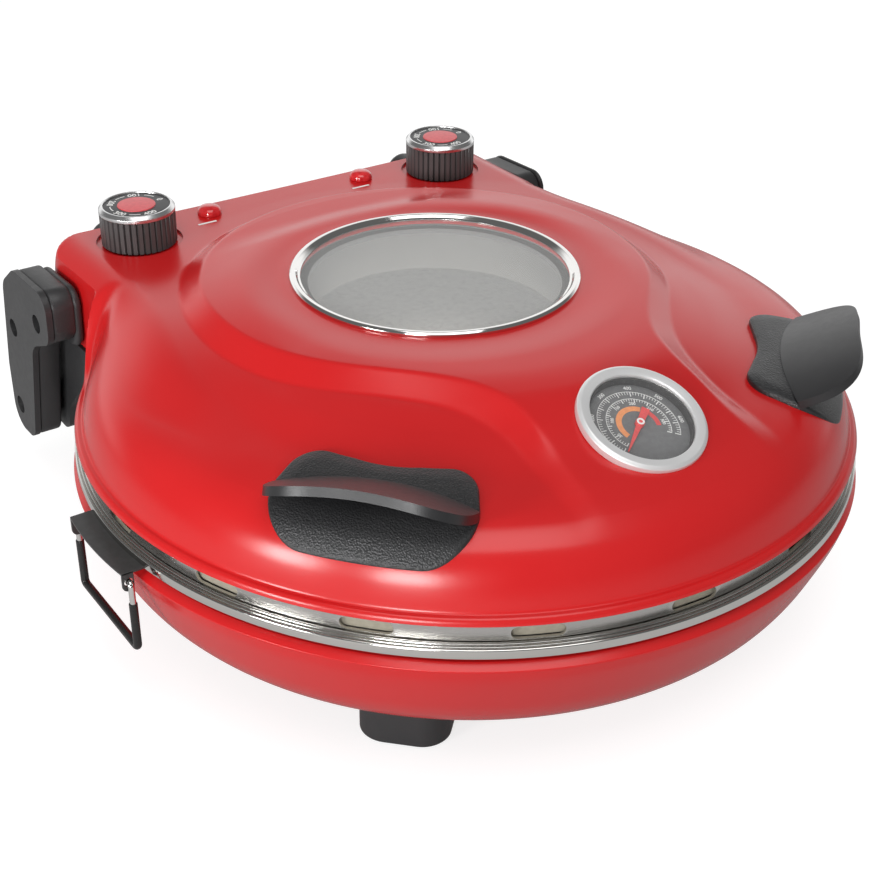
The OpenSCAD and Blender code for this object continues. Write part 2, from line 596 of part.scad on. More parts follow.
knob_top = knob_h + 0.5;
ring_h = 4.6;
ring_in = knob_r - 3.4;
module rib_outline() polygon([for (i = [0:4 * knob_ribs - 1])
    let (r = (i % 4 < 2) ? knob_r : knob_r - 0.8) r * [cos(90 * i / knob_ribs), sin(90 * i / knob_ribs)]]);
module knob_body(side) color([0.14, 0.14, 0.14]) at_rim() at_knob(side) difference() {
    translate([0, 0, 0.5]) linear_extrude(knob_top - ring_h - 0.5) rib_outline();
    ring(knob_r - 3, 5.6, 0, knob_top - ring_h - 2.6);
    translate([0, 0, -1]) cylinder(r = 5.7, h = 3.2);
    translate([0, 0, -1]) cylinder(r = shaft_r + 0.05, h = knob_top);
}
module knob_ring(side) color("gainsboro") at_rim() at_knob(side) translate([0, 0, knob_top - ring_h])
    rotate_extrude() polygon([[ring_in, 0], [knob_r, 0], [knob_r, ring_h - 1.9], [knob_r - 0.4, ring_h - 1.3],
        [knob_r - 2.4, ring_h], [ring_in + 0.3, ring_h], [ring_in, ring_h - 0.3]]);
module knob_dial(side) color("black") at_rim() at_knob(side) translate([0, 0, knob_top - ring_h])
    cylinder(r = ring_in - 0.05, h = ring_h - 0.7);
module knob_cap(side) color("crimson") at_rim() at_knob(side) translate([0, 0, knob_top - 0.7])
    cylinder(r1 = 7.4, r2 = 7, h = 0.6);
module knob_shaft(side) color("silver") at_rim() at_knob(side) translate([0, 0, -11])
    cylinder(r = shaft_r, h = 11 + knob_top - ring_h - 0.2);
module knob_body_left() knob_body(-1);
module knob_body_right() knob_body(1);
module knob_ring_left() knob_ring(-1);
module knob_ring_right() knob_ring(1);
module knob_dial_left() knob_dial(-1);
module knob_dial_right() knob_dial(1);
module knob_cap_left() knob_cap(-1);
module knob_cap_right() knob_cap(1);
module knob_shaft_left() knob_shaft(-1);
module knob_shaft_right() knob_shaft(1);

// ---- base ----------------------------------------------------------------
// Outside of the bowl: inset from its rim band and share of its depth
BOWL = [
    [2.5, 0.056], [0, 0.104], [0, 0.148], [1.8, 0.296], [7, 0.519], [15, 0.704], [28, 0.861], [43, 0.944], [60, 0.985], [80, 1]
];
rim_band_z = -bowl_depth * BOWL[0][1];
flange_in_r = pan_in_r + pan_t + fit;
// the bowl's outside from its table's row first on, moved out by gap
function bowl_path(gap, first = 0) = [for (i = [first:len(BOWL) - 1])
    [bowl_r - BOWL[i][0] + gap, -bowl_depth * BOWL[i][1] - (BOWL[i][1] > 0.6 ? gap : 0)]];
module bowl_solid(gap) rotate_extrude($fn = 180)
    polygon(concat([[0, 20], [bowl_r + gap, 20]], bowl_path(gap, 1), [[0, -bowl_depth - gap]]));
module base_bowl() color("firebrick") at_rim() rotate_extrude($fn = 180) polygon(concat(
    [[flange_in_r, rim_band_z]], bowl_path(0), [[0, -bowl_depth], [0, -bowl_depth + bowl_wall]],
    [for (i = [len(BOWL) - 1:-1:2]) [bowl_r - BOWL[i][0] - bowl_wall, -bowl_depth * BOWL[i][1] + (i > 4 ? bowl_wall : 0)]],
    [[bowl_r - bowl_wall, rim_band_z - 3.2], [rim_r + 0.9, rim_band_z - bowl_wall], [flange_in_r, rim_band_z - bowl_wall]]
));
module rim_gasket() color("black") at_rim() ring(rim_r - 3, flange_in_r, rim_band_z, 0, $fn = 180);

LIP_TURN = 1.1;                    // how far the lip's edge turns down
ledge_z = stone_top - stone_t;
pan_floor_z = ledge_z - 17;
low_element_z = pan_floor_z + 9.5;
well_r = stone_r - 10;
module base_pan() color("silver") at_rim() difference() {
    rotate_extrude($fn = 180) polygon([
        [0, pan_floor_z - pan_t], [well_r + pan_t, pan_floor_z - pan_t], [well_r + pan_t, ledge_z - pan_t],
        [pan_in_r + pan_t, ledge_z - pan_t], [pan_in_r + pan_t, 0], [rim_r - 1.1, 0],
        [rim_r - 1.1, -LIP_TURN + 0.3], [rim_r - 0.8, -LIP_TURN], [rim_r - 0.3, -LIP_TURN], [rim_r, -LIP_TURN + 0.3],
        [rim_r, rim_h - 1.4], [rim_r - 0.3, rim_h - 1], [rim_r - 0.8, rim_h - 0.9], [rim_r - 1, rim_h - 1.2],
        [rim_r - 1.2, rim_h - 0.8], [rim_r - 1.9, rim_h - 0.5], [rim_r - 2.1, rim_h - 0.8], [rim_r - 2.3, rim_h - 0.3],
        [rim_r - 3.1, rim_h], [pan_in_r + 0.8, rim_h], [pan_in_r, rim_h - 0.8], [pan_in_r, ledge_z], [well_r, ledge_z],
        [well_r, pan_floor_z], [0, pan_floor_z]
    ]);
    for (s = [-1, 1]) translate([s * leg_x, leg_y, low_element_z]) rotate([-90, 0, 0])
        cylinder(r = element_r + fit, h = 50);
}
module baking_stone() color("tan") at_rim() rotate_extrude($fn = 180) polygon([
    [0, ledge_z], [stone_r - 1.5, ledge_z], [stone_r, ledge_z + 1.5], [stone_r, stone_top - 1.5],
    [stone_r - 1.5, stone_top], [0, stone_top]
]);

HOUSING_TOP = lid_rim_z - 1;
HOOK_X = 95;                       // inner side of the housing's raised corners
GLAND_X = 60;
gland_z = hinge_z + 16;
module rear_housing() color([0.2, 0.2, 0.2]) at_rim() difference() {
    union() {
        translate([-housing_x, 0, 0]) rotate([90, 0, 90]) linear_extrude(2 * housing_x) polygon(rounded([
            [hinge_y - 90, HOUSING_TOP, 1], [hinge_y - 90, HOUSING_TOP - 4, 1], [hinge_y - 46, -12, 12],
            [hinge_y - 25, hinge_z + 6, 10], [hinge_y - 18, hinge_z - 12, 8], [hinge_y + 6, hinge_z - 12, 8],
            [hinge_y + 6, 2, 6], [hinge_y - 4, 7, 6], [hinge_y - 17, HOUSING_TOP, 6]
        ], 8));
        for (s = [-1, 1]) mirror([s < 0 ? 1 : 0, 0, 0])
            along_x(housing_x - 1, arm_x - fit, hinge_y, hinge_z, pin_r + 4.5);
    }
    bowl_solid(fit);
    // the liner's edge swings through here
    translate([-HOOK_X, 0, seam_z - 2.3]) cube([2 * HOOK_X, 2 * hinge_y, HOUSING_TOP]);
    for (s = [-1, 1]) mirror([s < 0 ? 1 : 0, 0, 0])
        along_x(housing_x - 10.2, arm_x + 1, hinge_y, hinge_z, pin_r + 0.05);
    translate([GLAND_X, hinge_y - 6, gland_z]) rotate([-90, 0, 0]) cylinder(r = 6.1, h = 20);
}
module cord_gland() color("black") at_rim() translate([GLAND_X, hinge_y + 6, gland_z]) rotate([-90, 0, 0])
    difference() {
        union() {
            translate([0, 0, -8]) cylinder(r = 6, h = 9);
            translate([0, 0, 0.05]) cylinder(r = 8.5, h = 2.6);
        }
        translate([0, 0, -9]) cylinder(r = 3.6, h = 20);
    }

pad_h = 3;
pad_show = 1;
foot_place_r = bowl_r - foot_in;
module at_foot(x, y) rotate([0, 0, atan2(y, x) - 90]) translate([0, foot_place_r, 0]) children();
module foot(x, y) color([0.15, 0.15, 0.15]) at_rim() difference() {
    at_foot(x, y) translate([0, 0, -rim_height + pad_show])
        linear_extrude(rim_height - pad_show - bowl_depth + 10) rounded_bar(foot_l, foot_w, 12);
    bowl_solid(fit);
    at_foot(x, y) translate([0, 0, -rim_height]) linear_extrude(pad_h) rounded_bar(foot_l - 7.6, foot_w - 7.6, 9);
}
module foot_front_left() foot(-1, -1);
module foot_front_right() foot(1, -1);
module foot_rear_left() foot(-1, 1);
module foot_rear_right() foot(1, 1);
module foot_pads() color("black") at_rim() for (x = [-1, 1]) for (y = [-1, 1]) at_foot(x, y)
    translate([0, 0, -rim_height]) linear_extrude(pad_h) rounded_bar(foot_l - 8, foot_w - 8, 8.8);

// ---- clasps --------------------------------------------------------------
pivot_x = bowl_r + 0.6;
pivot_z = rim_band_z - 3.4;
ear_y = clasp_w / 2 - 2.4;         // middle of each ear, from the clasp's middle
ear_t = 1.2;
ear_out = 2.9;                     // how far an ear reaches past the pivot
flange_z = rim_band_z + fit;
flange_t = 1.1;
// the flange lies in the gap under the chrome lip, and its ears are folded down
module clasp_bracket(side) color([0.2, 0.2, 0.2]) on_side(side) difference() {
    union() {
        intersection() {
            ring(bowl_r + 5.4, rim_r - 2.6, flange_z, flange_z + flange_t, $fn = 180);
            translate([0, clasp_y - ear_y - ear_t / 2, -20]) cube([2 * bowl_r, 2 * ear_y + ear_t, 40]);
        }
        for (e = [-1, 1]) translate([0, clasp_y + e * ear_y + ear_t / 2, 0]) rotate([90, 0, 0]) linear_extrude(ear_t)
            polygon(rounded([
                [pivot_x - 5, flange_z + flange_t / 2, 0.2], [pivot_x + ear_out, flange_z + flange_t / 2, 0.2],
                [pivot_x + ear_out, pivot_z - 4.2, 2.2], [pivot_x - 5, pivot_z - 4.2, 3]
            ]));
    }
    translate([0, 0, rim_band_z - 10.1]) cylinder(r = bowl_r + fit, h = 10 + fit, $fn = 180);
    translate([pivot_x, clasp_y - 40, pivot_z]) rotate([-90, 0, 0]) cylinder(r = wire_r + turn_gap, h = 80, $fn = 48);
}
module clasp_bracket_left() clasp_bracket(-1);
module clasp_bracket_right() clasp_bracket(1);

// one rod of the clasp from point a to point b, both in [y, z] from the pivot
module rod(a, b, r) translate([pivot_x, clasp_y + a[0], pivot_z + a[1]])
    rotate([a[0] == b[0] ? 0 : (b[0] > a[0] ? -90 : 90), 0, 0])
        translate([0, 0, a[0] == b[0] ? min(0, b[1] - a[1]) : 0])
            cylinder(r = r, h = norm(b - a), $fn = 48);
// slightly thicker than the rods that meet in it
module bend_ball(p, r) translate([pivot_x, clasp_y + p[0], pivot_z + p[1]]) sphere(r = r + 0.05, $fn = 48);
half_w = clasp_w / 2;
module clasp_wire(side) color("gainsboro") on_side(side) {
    for (e = [-1, 1]) {
        rod([e * half_w, 0], [e * (half_w - 4), 0], wire_r);
        bend_ball([e * half_w, 0], wire_r);
        rod([e * half_w, 0], [e * half_w, -clasp_drop], wire_r);
        bend_ball([e * half_w, -clasp_drop], wire_r);
    }
    rod([-half_w, -clasp_drop], [half_w, -clasp_drop], wire_r);
}
SLEEVE_START = 9;                  // bare wire below each ear
module clasp_sleeves(side) color("black") on_side(side) difference() {
    union() {
        for (e = [-1, 1]) {
            rod([e * half_w, -SLEEVE_START], [e * half_w, -clasp_drop], sleeve_r);
            bend_ball([e * half_w, -clasp_drop], sleeve_r);
        }
        rod([-half_w, -clasp_drop], [half_w, -clasp_drop], sleeve_r);
    }
    for (e = [-1, 1]) {
        rod([e * half_w, 0], [e * half_w, -clasp_drop], wire_r + 0.03);
        bend_ball([e * half_w, -clasp_drop], wire_r + 0.03);
    }
    rod([-half_w, -clasp_drop], [half_w, -clasp_drop], wire_r + 0.03);
}
module clasp_wire_left() clasp_wire(-1);
module clasp_wire_right() clasp_wire(1);
module clasp_sleeves_left() clasp_sleeves(-1);
module clasp_sleeves_right() clasp_sleeves(1);

base_bowl();
base_pan();
rim_gasket();
baking_stone();
bottom_element();
bottom_element_clips();
rear_housing();
hinge_pins();
cord_gland();
foot_front_left();
foot_front_right();
foot_rear_left();
foot_rear_right();
foot_pads();
clasp_bracket_left();
clasp_bracket_right();
clasp_wire_left();
clasp_wire_right();
clasp_sleeves_left();
clasp_sleeves_right();
lid_shell();
lid_liner();
lid_floor_plate();
top_element();
top_element_clips();
window_ring();
window_glass();
window_gasket();
gauge_bezel();
gauge_case();
gauge_dial();
gauge_glass();
gauge_probe();
gauge_pointer();
handle_left();
handle_right();
rest_left();
rest_right();
hinge_arm_left();
hinge_arm_right();
hinge_cover_left();
hinge_cover_right();
hinge_screws_left();
hinge_screws_right();
pilot_light_left();
pilot_light_right();
heat_switch_left();
heat_switch_right();
knob_body_left();
knob_body_right();
knob_ring_left();
knob_ring_right();
knob_dial_left();
knob_dial_right();
knob_cap_left();
knob_cap_right();
knob_shaft_left();
knob_shaft_right();
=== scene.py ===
"""Electric pizza maker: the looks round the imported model.

Lengths are in millimetres and angles in degrees, unless a name or a comment says otherwise.
"""
import math

import bmesh
import bpy
import numpy as np
from mathutils import Matrix, Vector
from mathutils.geometry import delaunay_2d_cdt


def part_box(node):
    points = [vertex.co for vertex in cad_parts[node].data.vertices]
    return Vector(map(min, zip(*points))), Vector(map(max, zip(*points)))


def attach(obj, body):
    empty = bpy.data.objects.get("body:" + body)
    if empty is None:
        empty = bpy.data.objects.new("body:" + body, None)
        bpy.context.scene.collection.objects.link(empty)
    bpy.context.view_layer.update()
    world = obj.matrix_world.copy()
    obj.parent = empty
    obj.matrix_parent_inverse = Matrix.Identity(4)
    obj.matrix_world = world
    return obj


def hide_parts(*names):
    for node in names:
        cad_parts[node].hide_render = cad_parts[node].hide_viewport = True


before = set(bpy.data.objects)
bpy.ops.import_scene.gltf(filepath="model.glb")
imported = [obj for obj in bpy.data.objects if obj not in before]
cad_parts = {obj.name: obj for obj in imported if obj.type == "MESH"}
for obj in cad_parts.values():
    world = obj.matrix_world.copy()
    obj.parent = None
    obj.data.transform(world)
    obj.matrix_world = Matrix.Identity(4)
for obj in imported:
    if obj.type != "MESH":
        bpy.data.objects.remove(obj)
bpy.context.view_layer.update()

# ---- the shared frame
MM = 0.001
STONE_TOP = 3.0                    # height of the stone's top above the rim plane
stone_low, stone_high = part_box("baking_stone")
AXIS_Y = (stone_low[1] + stone_high[1]) / 2 / MM
RIM_Z = stone_high[2] / MM - STONE_TOP


def to_frame(points):
    """Points in millimetres from the bowl's axis and rim plane, as metres in the row frame."""
    return (np.asarray(points, float) + [0, AXIS_Y, RIM_Z]) * MM


# ---- materials
def shader_of(material):
    return material.node_tree.nodes["Principled BSDF"]


def new_material(name, colour, roughness, metallic=0.0, **sockets):
    """A material with a Principled shader; an underscore in a socket's name stands for a space."""
    material = bpy.data.materials.new(name)
    material.use_nodes = True
    sockets.update(Base_Color=(*colour, 1), Roughness=roughness, Metallic=metallic)
    for socket, value in sockets.items():
        shader_of(material).inputs[socket.replace("_", " ")].default_value = value
    return material


def add_node(owner, kind, **values):
    """A shader node with its sockets or properties set, the sockets named as in new_material."""
    node = owner.node_tree.nodes.new(kind)
    for key, value in values.items():
        socket = key.replace("_", " ")
        if socket in node.inputs:
            node.inputs[socket].default_value = value
        else:
            setattr(node, key, value)
    return node


def texture(material, kind, scale, **values):
    """A texture in object space, scale in cells per metre."""
    node = add_node(material, kind, Scale=scale, **values)
    space = add_node(material, "ShaderNodeTexCoord").outputs["Object"]
    material.node_tree.links.new(space, node.inputs["Vector"])
    return node


def noise(material, scale, detail):
    return texture(material, "ShaderNodeTexNoise", scale, Detail=detail)


def vary(material, socket, scale, detail, stops):
    """Noise drives a socket of the shader through a ramp; stops are (place, grey or colour)."""
    node = add_node(material, "ShaderNodeValToRGB")
    node.color_ramp.interpolation = "EASE"
    elements = node.color_ramp.elements
    while len(elements) < len(stops):
        elements.new(0.5)
    for element, (place, colour) in zip(elements, stops):
        element.position = place
        element.color = (*colour, 1) if isinstance(colour, tuple) else (colour, colour, colour, 1)
    links = material.node_tree.links
    links.new(noise(material, scale, detail).outputs[0], node.inputs["Fac"])
    links.new(node.outputs[0], shader_of(material).inputs[socket])


def maths(owner, operation, *operands):
    """Result of a math node; operands are numbers or sockets."""
    node = add_node(owner, "ShaderNodeMath", operation=operation)
    for socket, operand in zip(node.inputs, operands):
        if isinstance(operand, float):
            socket.default_value = operand
        else:
            owner.node_tree.links.new(operand, socket)
    return node.outputs[0]


def bump(material, textures, distance):
    """Chains (texture, strength) pairs into the shader's normal."""
    links = material.node_tree.links
    previous = None
    for texture, strength in textures:
        node = add_node(material, "ShaderNodeBump", Strength=strength, Distance=distance)
        links.new(texture.outputs[0], node.inputs["Height"])
        if previous:
            links.new(previous.outputs["Normal"], node.inputs["Normal"])
        previous = node
    links.new(previous.outputs["Normal"], shader_of(material).inputs["Normal"])


def enamel(name, colour, dark):
    """Satin stoved paint with a very fine orange peel."""
    m = new_material(name, colour, 0.26, Specular_IOR_Level=0.5)
    vary(m, "Base Color", 14, 2, [(0.1, dark), (0.9, colour)])
    vary(m, "Roughness", 30, 2, [(0.1, 0.22), (0.9, 0.27)])
    bump(m, [(noise(m, 1500, 1), 0.035)], 0.0002)
    return m


def grained_plastic(name, colour, light, grain, strength, roughness=0.42):
    """Moulded plastic with a leather-like grain, grain in cells per metre."""
    m = new_material(name, colour, roughness)
    vary(m, "Base Color", 45, 3, [(0.3, colour), (0.75, light)])
    vary(m, "Roughness", 300, 3, [(0.2, roughness - 0.02), (0.8, roughness + 0.03)])
    cells = texture(m, "ShaderNodeTexVoronoi", grain)
    bump(m, [(cells, strength), (noise(m, grain * 2.1, 2), strength * 0.6)], 0.0003)
    return m


def metal(name, colour, roughness, strength=0.05, metallic=1.0):
    """Bright metal, slightly uneven in tone and gloss."""
    m = new_material(name, colour, roughness, metallic)
    spread = roughness * 0.12
    dull = tuple(c * 0.93 for c in colour)
    vary(m, "Roughness", 60, 2, [(0.2, roughness - spread), (0.8, roughness + spread)])
    vary(m, "Base Color", 12, 2, [(0.3, dull), (0.7, colour)])
    bump(m, [(noise(m, 700, 2), strength)], 0.0002)
    return m


def glass(name, painted_sheen, cover, roughness=0.04):
    """Thin flat glass drawn as a pale layer whose colour is a painted sheen: cover is the share of what
    lies behind that this painted sheen hides.
    """
    m = new_material(name, painted_sheen, roughness, Alpha=cover, IOR=1.5)
    vary(m, "Roughness", 120, 3, [(0.3, roughness), (0.8, roughness + 0.03)])
    return m


def stone_material():
    m = new_material("stone_finish", (0.5, 0.47, 0.4), 0.9)
    vary(m, "Base Color", 380, 6,
         [(0.3, (0.56, 0.53, 0.47)), (0.5, (0.7, 0.67, 0.61)), (0.75, (0.8, 0.77, 0.71))])
    vary(m, "Roughness", 90, 3, [(0.3, 0.8), (0.7, 0.96)])
    bump(m, [(noise(m, 1500, 4), 0.3), (noise(m, 240, 3), 0.15)], 0.0004)
    return m


def printed(name, colour, roughness=0.5):
    """Ink or smooth lacquer, slightly mottled."""
    m = new_material(name, colour, roughness)
    light = tuple(min(1, c * 1.12 + 0.004) for c in colour)
    vary(m, "Base Color", 500, 3, [(0.35, colour), (0.7, light)])
    bump(m, [(noise(m, 1800, 2), 0.04)], 0.0002)
    return m


RED = enamel("red_enamel", (0.53, 0.010, 0.011), (0.49, 0.008, 0.009))
BLACK = grained_plastic("black_grain", (0.026, 0.026, 0.027), (0.03, 0.03, 0.031), 1500, 0.12)
LEATHER = grained_plastic("black_coarse_grain", (0.016, 0.016, 0.017), (0.024, 0.024, 0.025),
                          1250, 0.55, 0.34)
FIN = grained_plastic("fin_plastic", (0.018, 0.018, 0.019), (0.022, 0.022, 0.023), 2400, 0.06, 0.36)
KNOB_GRIP = grained_plastic("knob_plastic", (0.05, 0.046, 0.046), (0.07, 0.065, 0.065), 2600, 0.08, 0.36)
RUBBER = grained_plastic("black_rubber_finish", (0.012, 0.012, 0.012), (0.02, 0.02, 0.02), 1900, 0.15, 0.6)
SLEEVE = grained_plastic("sleeve_finish", (0.01, 0.01, 0.01), (0.016, 0.016, 0.016), 2600, 0.04, 0.25)
BLACK_METAL = printed("black_lacquer", (0.03, 0.029, 0.029), 0.34)
CHROME = metal("chrome_finish", (0.78, 0.77, 0.75), 0.1)
RIM_STEEL = metal("rim_steel", (0.7, 0.69, 0.66), 0.12, 0.012)
BEZEL = metal("bezel_finish", (0.8, 0.8, 0.8), 0.4, 0.02, 0.55)
SATIN = metal("satin_steel", (0.6, 0.59, 0.57), 0.24, 0.012)
FIBRE = printed("heat_fibre", (0.3, 0.272, 0.215), 0.9)
DARK_STEEL = metal("heat_dark_steel", (0.12, 0.115, 0.11), 0.45, 0.15)
# The window glass's near-white colour is painted light: a painted reflection of the white surroundings and
# painted brightness over the dim inside.
CLEAR = glass("window_glass_painted_sheen", (0.92, 0.92, 0.9), 0.24)
GAUGE_CLEAR = glass("gauge_glass_finish", (0.5, 0.5, 0.5), 0.06)
STONE = stone_material()
DIAL = printed("dial_black", (0.15, 0.151, 0.153), 0.42)
RING_STEEL = metal("knob_ring_finish", (0.8, 0.8, 0.8), 0.28, 0.02)
KNOB_DIAL = printed("knob_dial_black", (0.022, 0.022, 0.024), 0.4)
WHITE_INK = printed("white_ink", (0.8, 0.8, 0.78))
ORANGE_INK = printed("orange_ink", (0.83, 0.3, 0.1))
RED_INK = printed("red_ink", (0.72, 0.06, 0.06))
CAP_RED = printed("cap_red", (0.6, 0.075, 0.085), 0.35)
LENS = new_material("lens_red", (0.62, 0.02, 0.025), 0.08, Coat_Weight=0.6, Coat_Roughness=0.03)
vary(LENS, "Base Color", 350, 2, [(0.3, (0.5, 0.012, 0.016)), (0.7, (0.68, 0.03, 0.035))])


# ---- mesh helpers
SHARP_ANGLE = 34
SIDES = {-1: "left", 1: "right"}


def unit(vector):
    return vector / np.linalg.norm(vector)


def linked(name, data):
    """A new object of the scene."""
    obj = bpy.data.objects.new(name, data)
    bpy.context.scene.collection.objects.link(obj)
    return obj


def evaluated_mesh(obj):
    return bpy.data.meshes.new_from_object(obj.evaluated_get(bpy.context.evaluated_depsgraph_get()))


def closed_mesh(name, points, faces, weld):
    """A mesh from points in millimetres, its faces turned outward."""
    mesh = bpy.data.meshes.new(name)
    mesh.from_pydata(to_frame(points).tolist(), [], [list(f) for f in faces])
    mesh.validate()
    fix = bmesh.new()
    fix.from_mesh(mesh)
    if weld:
        bmesh.ops.remove_doubles(fix, verts=fix.verts, dist=1e-7)
    bmesh.ops.recalc_face_normals(fix, faces=fix.faces)
    fix.to_mesh(mesh)
    fix.free()
    return mesh


def piece(name, points, faces, material, body, nodes=(), sharp=SHARP_ANGLE):
    """A mesh piece that rides on a body and may stand for CAD nodes."""
    mesh = closed_mesh(name, points, faces, True)
    mesh.materials.append(material)
    mesh.shade_smooth()
    mesh.set_sharp_from_angle(angle=math.radians(sharp))
    obj = linked(name, mesh)
    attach(obj, body)
    if nodes:
        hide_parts(*nodes)
    return obj


def bevelled(obj, width, segments=3, angle=35):
    """Rounds the piece's hard edges; width in millimetres."""
    modifier = obj.modifiers.new("round", "BEVEL")
    modifier.width = width * MM
    modifier.segments = segments
    modifier.limit_method = "ANGLE"
    modifier.angle_limit = math.radians(angle)
    modifier.harden_normals = True
    modifier.use_clamp_overlap = True
    return obj


def grid_faces(rows, columns, closed_columns=True, closed_rows=False):
    """Quads between rows of points that follow each other."""
    faces = []
    for r in range(rows if closed_rows else rows - 1):
        s = (r + 1) % rows
        for c in range(columns if closed_columns else columns - 1):
            d = (c + 1) % columns
            faces.append((r * columns + c, r * columns + d, s * columns + d, s * columns + c))
    return faces


def extruded_faces(count, start=0):
    """Faces of a closed solid between two loops of count points that follow each other."""
    low = [start + i for i in range(count)]
    high = [i + count for i in low]
    sides = [(low[i], low[(i + 1) % count], high[(i + 1) % count], high[i]) for i in range(count)]
    return [low[::-1], high] + sides


def capped_faces(rows, columns):
    """Faces of closed loops in rows, with a cap at both ends."""
    last = (rows - 1) * columns
    return grid_faces(rows, columns) + [list(range(columns))[::-1], list(range(last, last + columns))]


def band(r_in, r_out, low, high, *corners):
    """Lathe path of a ring or disc; its corner radii go round from low inside to high inside."""
    return [(r, z, c) for r, z, c in zip((r_in, r_out, r_out, r_in), (low, low, high, high), corners)]


def corner_arc(before, point, after, steps):
    """A corner rounded by an arc; corners are (x, y, radius) or (x, y, z, radius)."""
    p, a, b = (np.array(v[:-1], float) for v in (point, before, after))
    u, v = unit(a - p), unit(b - p)
    half = math.acos(max(-1, min(1, float(u @ v)))) / 2
    if point[-1] <= 0 or half > 1.55:
        return [p]
    reach = min(point[-1] / math.tan(half), 0.49 * min(np.linalg.norm(a - p), np.linalg.norm(b - p)))
    radius = reach * math.tan(half)
    centre = p + unit(u + v) * radius / math.sin(half)
    e0, e1 = p + u * reach - centre, p + v * reach - centre
    turn = math.acos(float(e0 @ e1) / radius ** 2)
    return [centre + (e0 * math.sin(turn * (1 - t)) + e1 * math.sin(turn * t)) / math.sin(turn)
            for t in (k / steps for k in range(steps + 1))]


def rounded(path, steps):
    """Closed path of (x, y, radius) with its corners as arcs."""
    result = []
    for before, point, after in zip(path[-1:] + path[:-1], path, path[1:] + path[:1]):
        result += corner_arc(before, point, after, steps)
    return np.array(result)


def bent_path(path, steps):
    """Open path of (x, y, z, bend radius) with its bends as arcs."""
    result = [path[0][:-1]]
    for before, point, after in zip(path, path[1:], path[2:]):
        result += corner_arc(before, point, after, steps)
    return result + [path[-1][:-1]]


def spun(points, angle):
    """Points turned about the vertical axis."""
    c, s = math.cos(angle), math.sin(angle)
    p = np.asarray(points, float)
    return np.stack([p[:, 0] * c - p[:, 1] * s, p[:, 0] * s + p[:, 1] * c, p[:, 2]], 1)


def tilted(centre, tilt):
    """A placing function: local points, tilted forward by an angle in degrees, moved to centre."""
    c, s = math.cos(math.radians(tilt)), math.sin(math.radians(tilt))
    turn = np.array([[1, 0, 0], [0, c, -s], [0, s, c]])
    return lambda points: np.asarray(points) @ turn.T + centre


def lathe(name, path, material, body, nodes=(), centre=(0, 0, 0), tilt=0, segments=160, steps=5):
    """Turned piece from a closed path of (radius, height, corner radius)."""
    profile = rounded(path, steps)
    angles = np.linspace(0, 2 * math.pi, segments, endpoint=False)
    ring = np.stack([np.cos(angles), np.sin(angles)], 1)
    points = [[max(r, 0) * c, max(r, 0) * s, z] for r, z in profile for c, s in ring]
    faces = grid_faces(len(profile), segments, True, True)
    return piece(name, tilted(np.array(centre, float), tilt)(points), faces, material, body, nodes)


def prism(name, outline, low, high, place, material, body, nodes=()):
    """An outline of (a, b) extruded from low to high; place(a, b, h) gives its point."""
    points = [place(a, b, h) for h in (low, high) for a, b in outline]
    return piece(name, points, extruded_faces(len(outline)), material, body, nodes)


def cylinder_points(start, end, radius, segments=48):
    """Points and faces of a cylinder between two places."""
    start, end = np.array(start, float), np.array(end, float)
    along = unit(end - start)
    side = unit(np.cross(along, [0, 0, 1.0] if abs(along[2]) < 0.9 else [1.0, 0, 0]))
    other = np.cross(along, side)
    angles = np.linspace(0, 2 * math.pi, segments, endpoint=False)
    ring = [radius * (math.cos(a) * side + math.sin(a) * other) for a in angles]
    return [start + r for r in ring] + [end + r for r in ring], extruded_faces(segments)


def cut(obj, solids):
    """Takes closed solids, given as (points, faces), out of a piece."""
    points, faces = [], []
    for solid_points, solid_faces in solids:
        faces += [[i + len(points) for i in f] for f in solid_faces]
        points += list(solid_points)
    cutter = linked("cutter", closed_mesh("cutter", points, faces, False))
    modifier = obj.modifiers.new("cut", "BOOLEAN")
    modifier.operation = "DIFFERENCE"
    modifier.object = cutter
    modifier.solver = "EXACT"
    result = evaluated_mesh(obj)
    obj.modifiers.clear()
    obj.data = result
    bpy.data.objects.remove(cutter)
    result.set_sharp_from_angle(angle=math.radians(SHARP_ANGLE))
    return obj


def sweep(name, path, radius, material, body, nodes=(), segments=20):
    """A round rod along a path of points."""
    path = np.array(path, float)
    points = []
    angles = np.linspace(0, 2 * math.pi, segments, endpoint=False)
    tangent = np.gradient(path, axis=0)
    tangent /= np.linalg.norm(tangent, axis=1)[:, None]
    side = np.cross(tangent[0], [0.3, 0.5, 0.8])
    for p, t in zip(path, tangent):
        side = unit(side - t * (side @ t))
        other = np.cross(t, side)
        points += [p + radius * (math.cos(a) * side + math.sin(a) * other) for a in angles]
    return piece(name, points, capped_faces(len(path), segments), material, body, nodes)


def finish_node(node, material):
    """Gives a CAD node its material."""
    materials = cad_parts[node].data.materials
    materials.clear()
    materials.append(material)


# ---- lid surface
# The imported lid's shape, sampled finer and with its bell refitted to the photo.
RIM_R, LID_R, BOWL_R, LINER_R = 174.0, 173.1, 178.0, 170.0
LID_RIM_Z, PANEL_Z = 11.4, 52.8
PANEL_HALF_W, PANEL_REAR_Y, PANEL_CORNER_R = 126.0, 177.0, 14.0
PANEL_SIDE_FALL, PANEL_FRONT_FALL = 1.35, 0.3     # slopes past the panel's flat part
PANEL_FRONT_Y = 36.0
DECK_Y, DECK_BLEND = 95.0, 20.0        # where the dome's round side gives way to the deck's edge
DECK_EDGE_R = 10.0
BELL_H, BELL_R, BELL_SLOPE = 6.0, 110.2, 9.5
BELL_Y, TONGUE_HALF, BELL_BLEND = 33.0, 48.8, 40.0   # a disc with a tongue that runs to the gauge
BELL_END_Y, BELL_FADE = -156.0, 65.0
PANEL_BLEND = 15.0
WINDOW_Y, WINDOW_R, WINDOW_SEAT_Z = 24.7, 65.1, 61.2
SEAT_REACH, SEAT_BLEND = 24, 20        # how the bell's top levels out round the window
LID_WALL = 1.8
KNOB_AT = (87.2, 148.7, PANEL_Z)
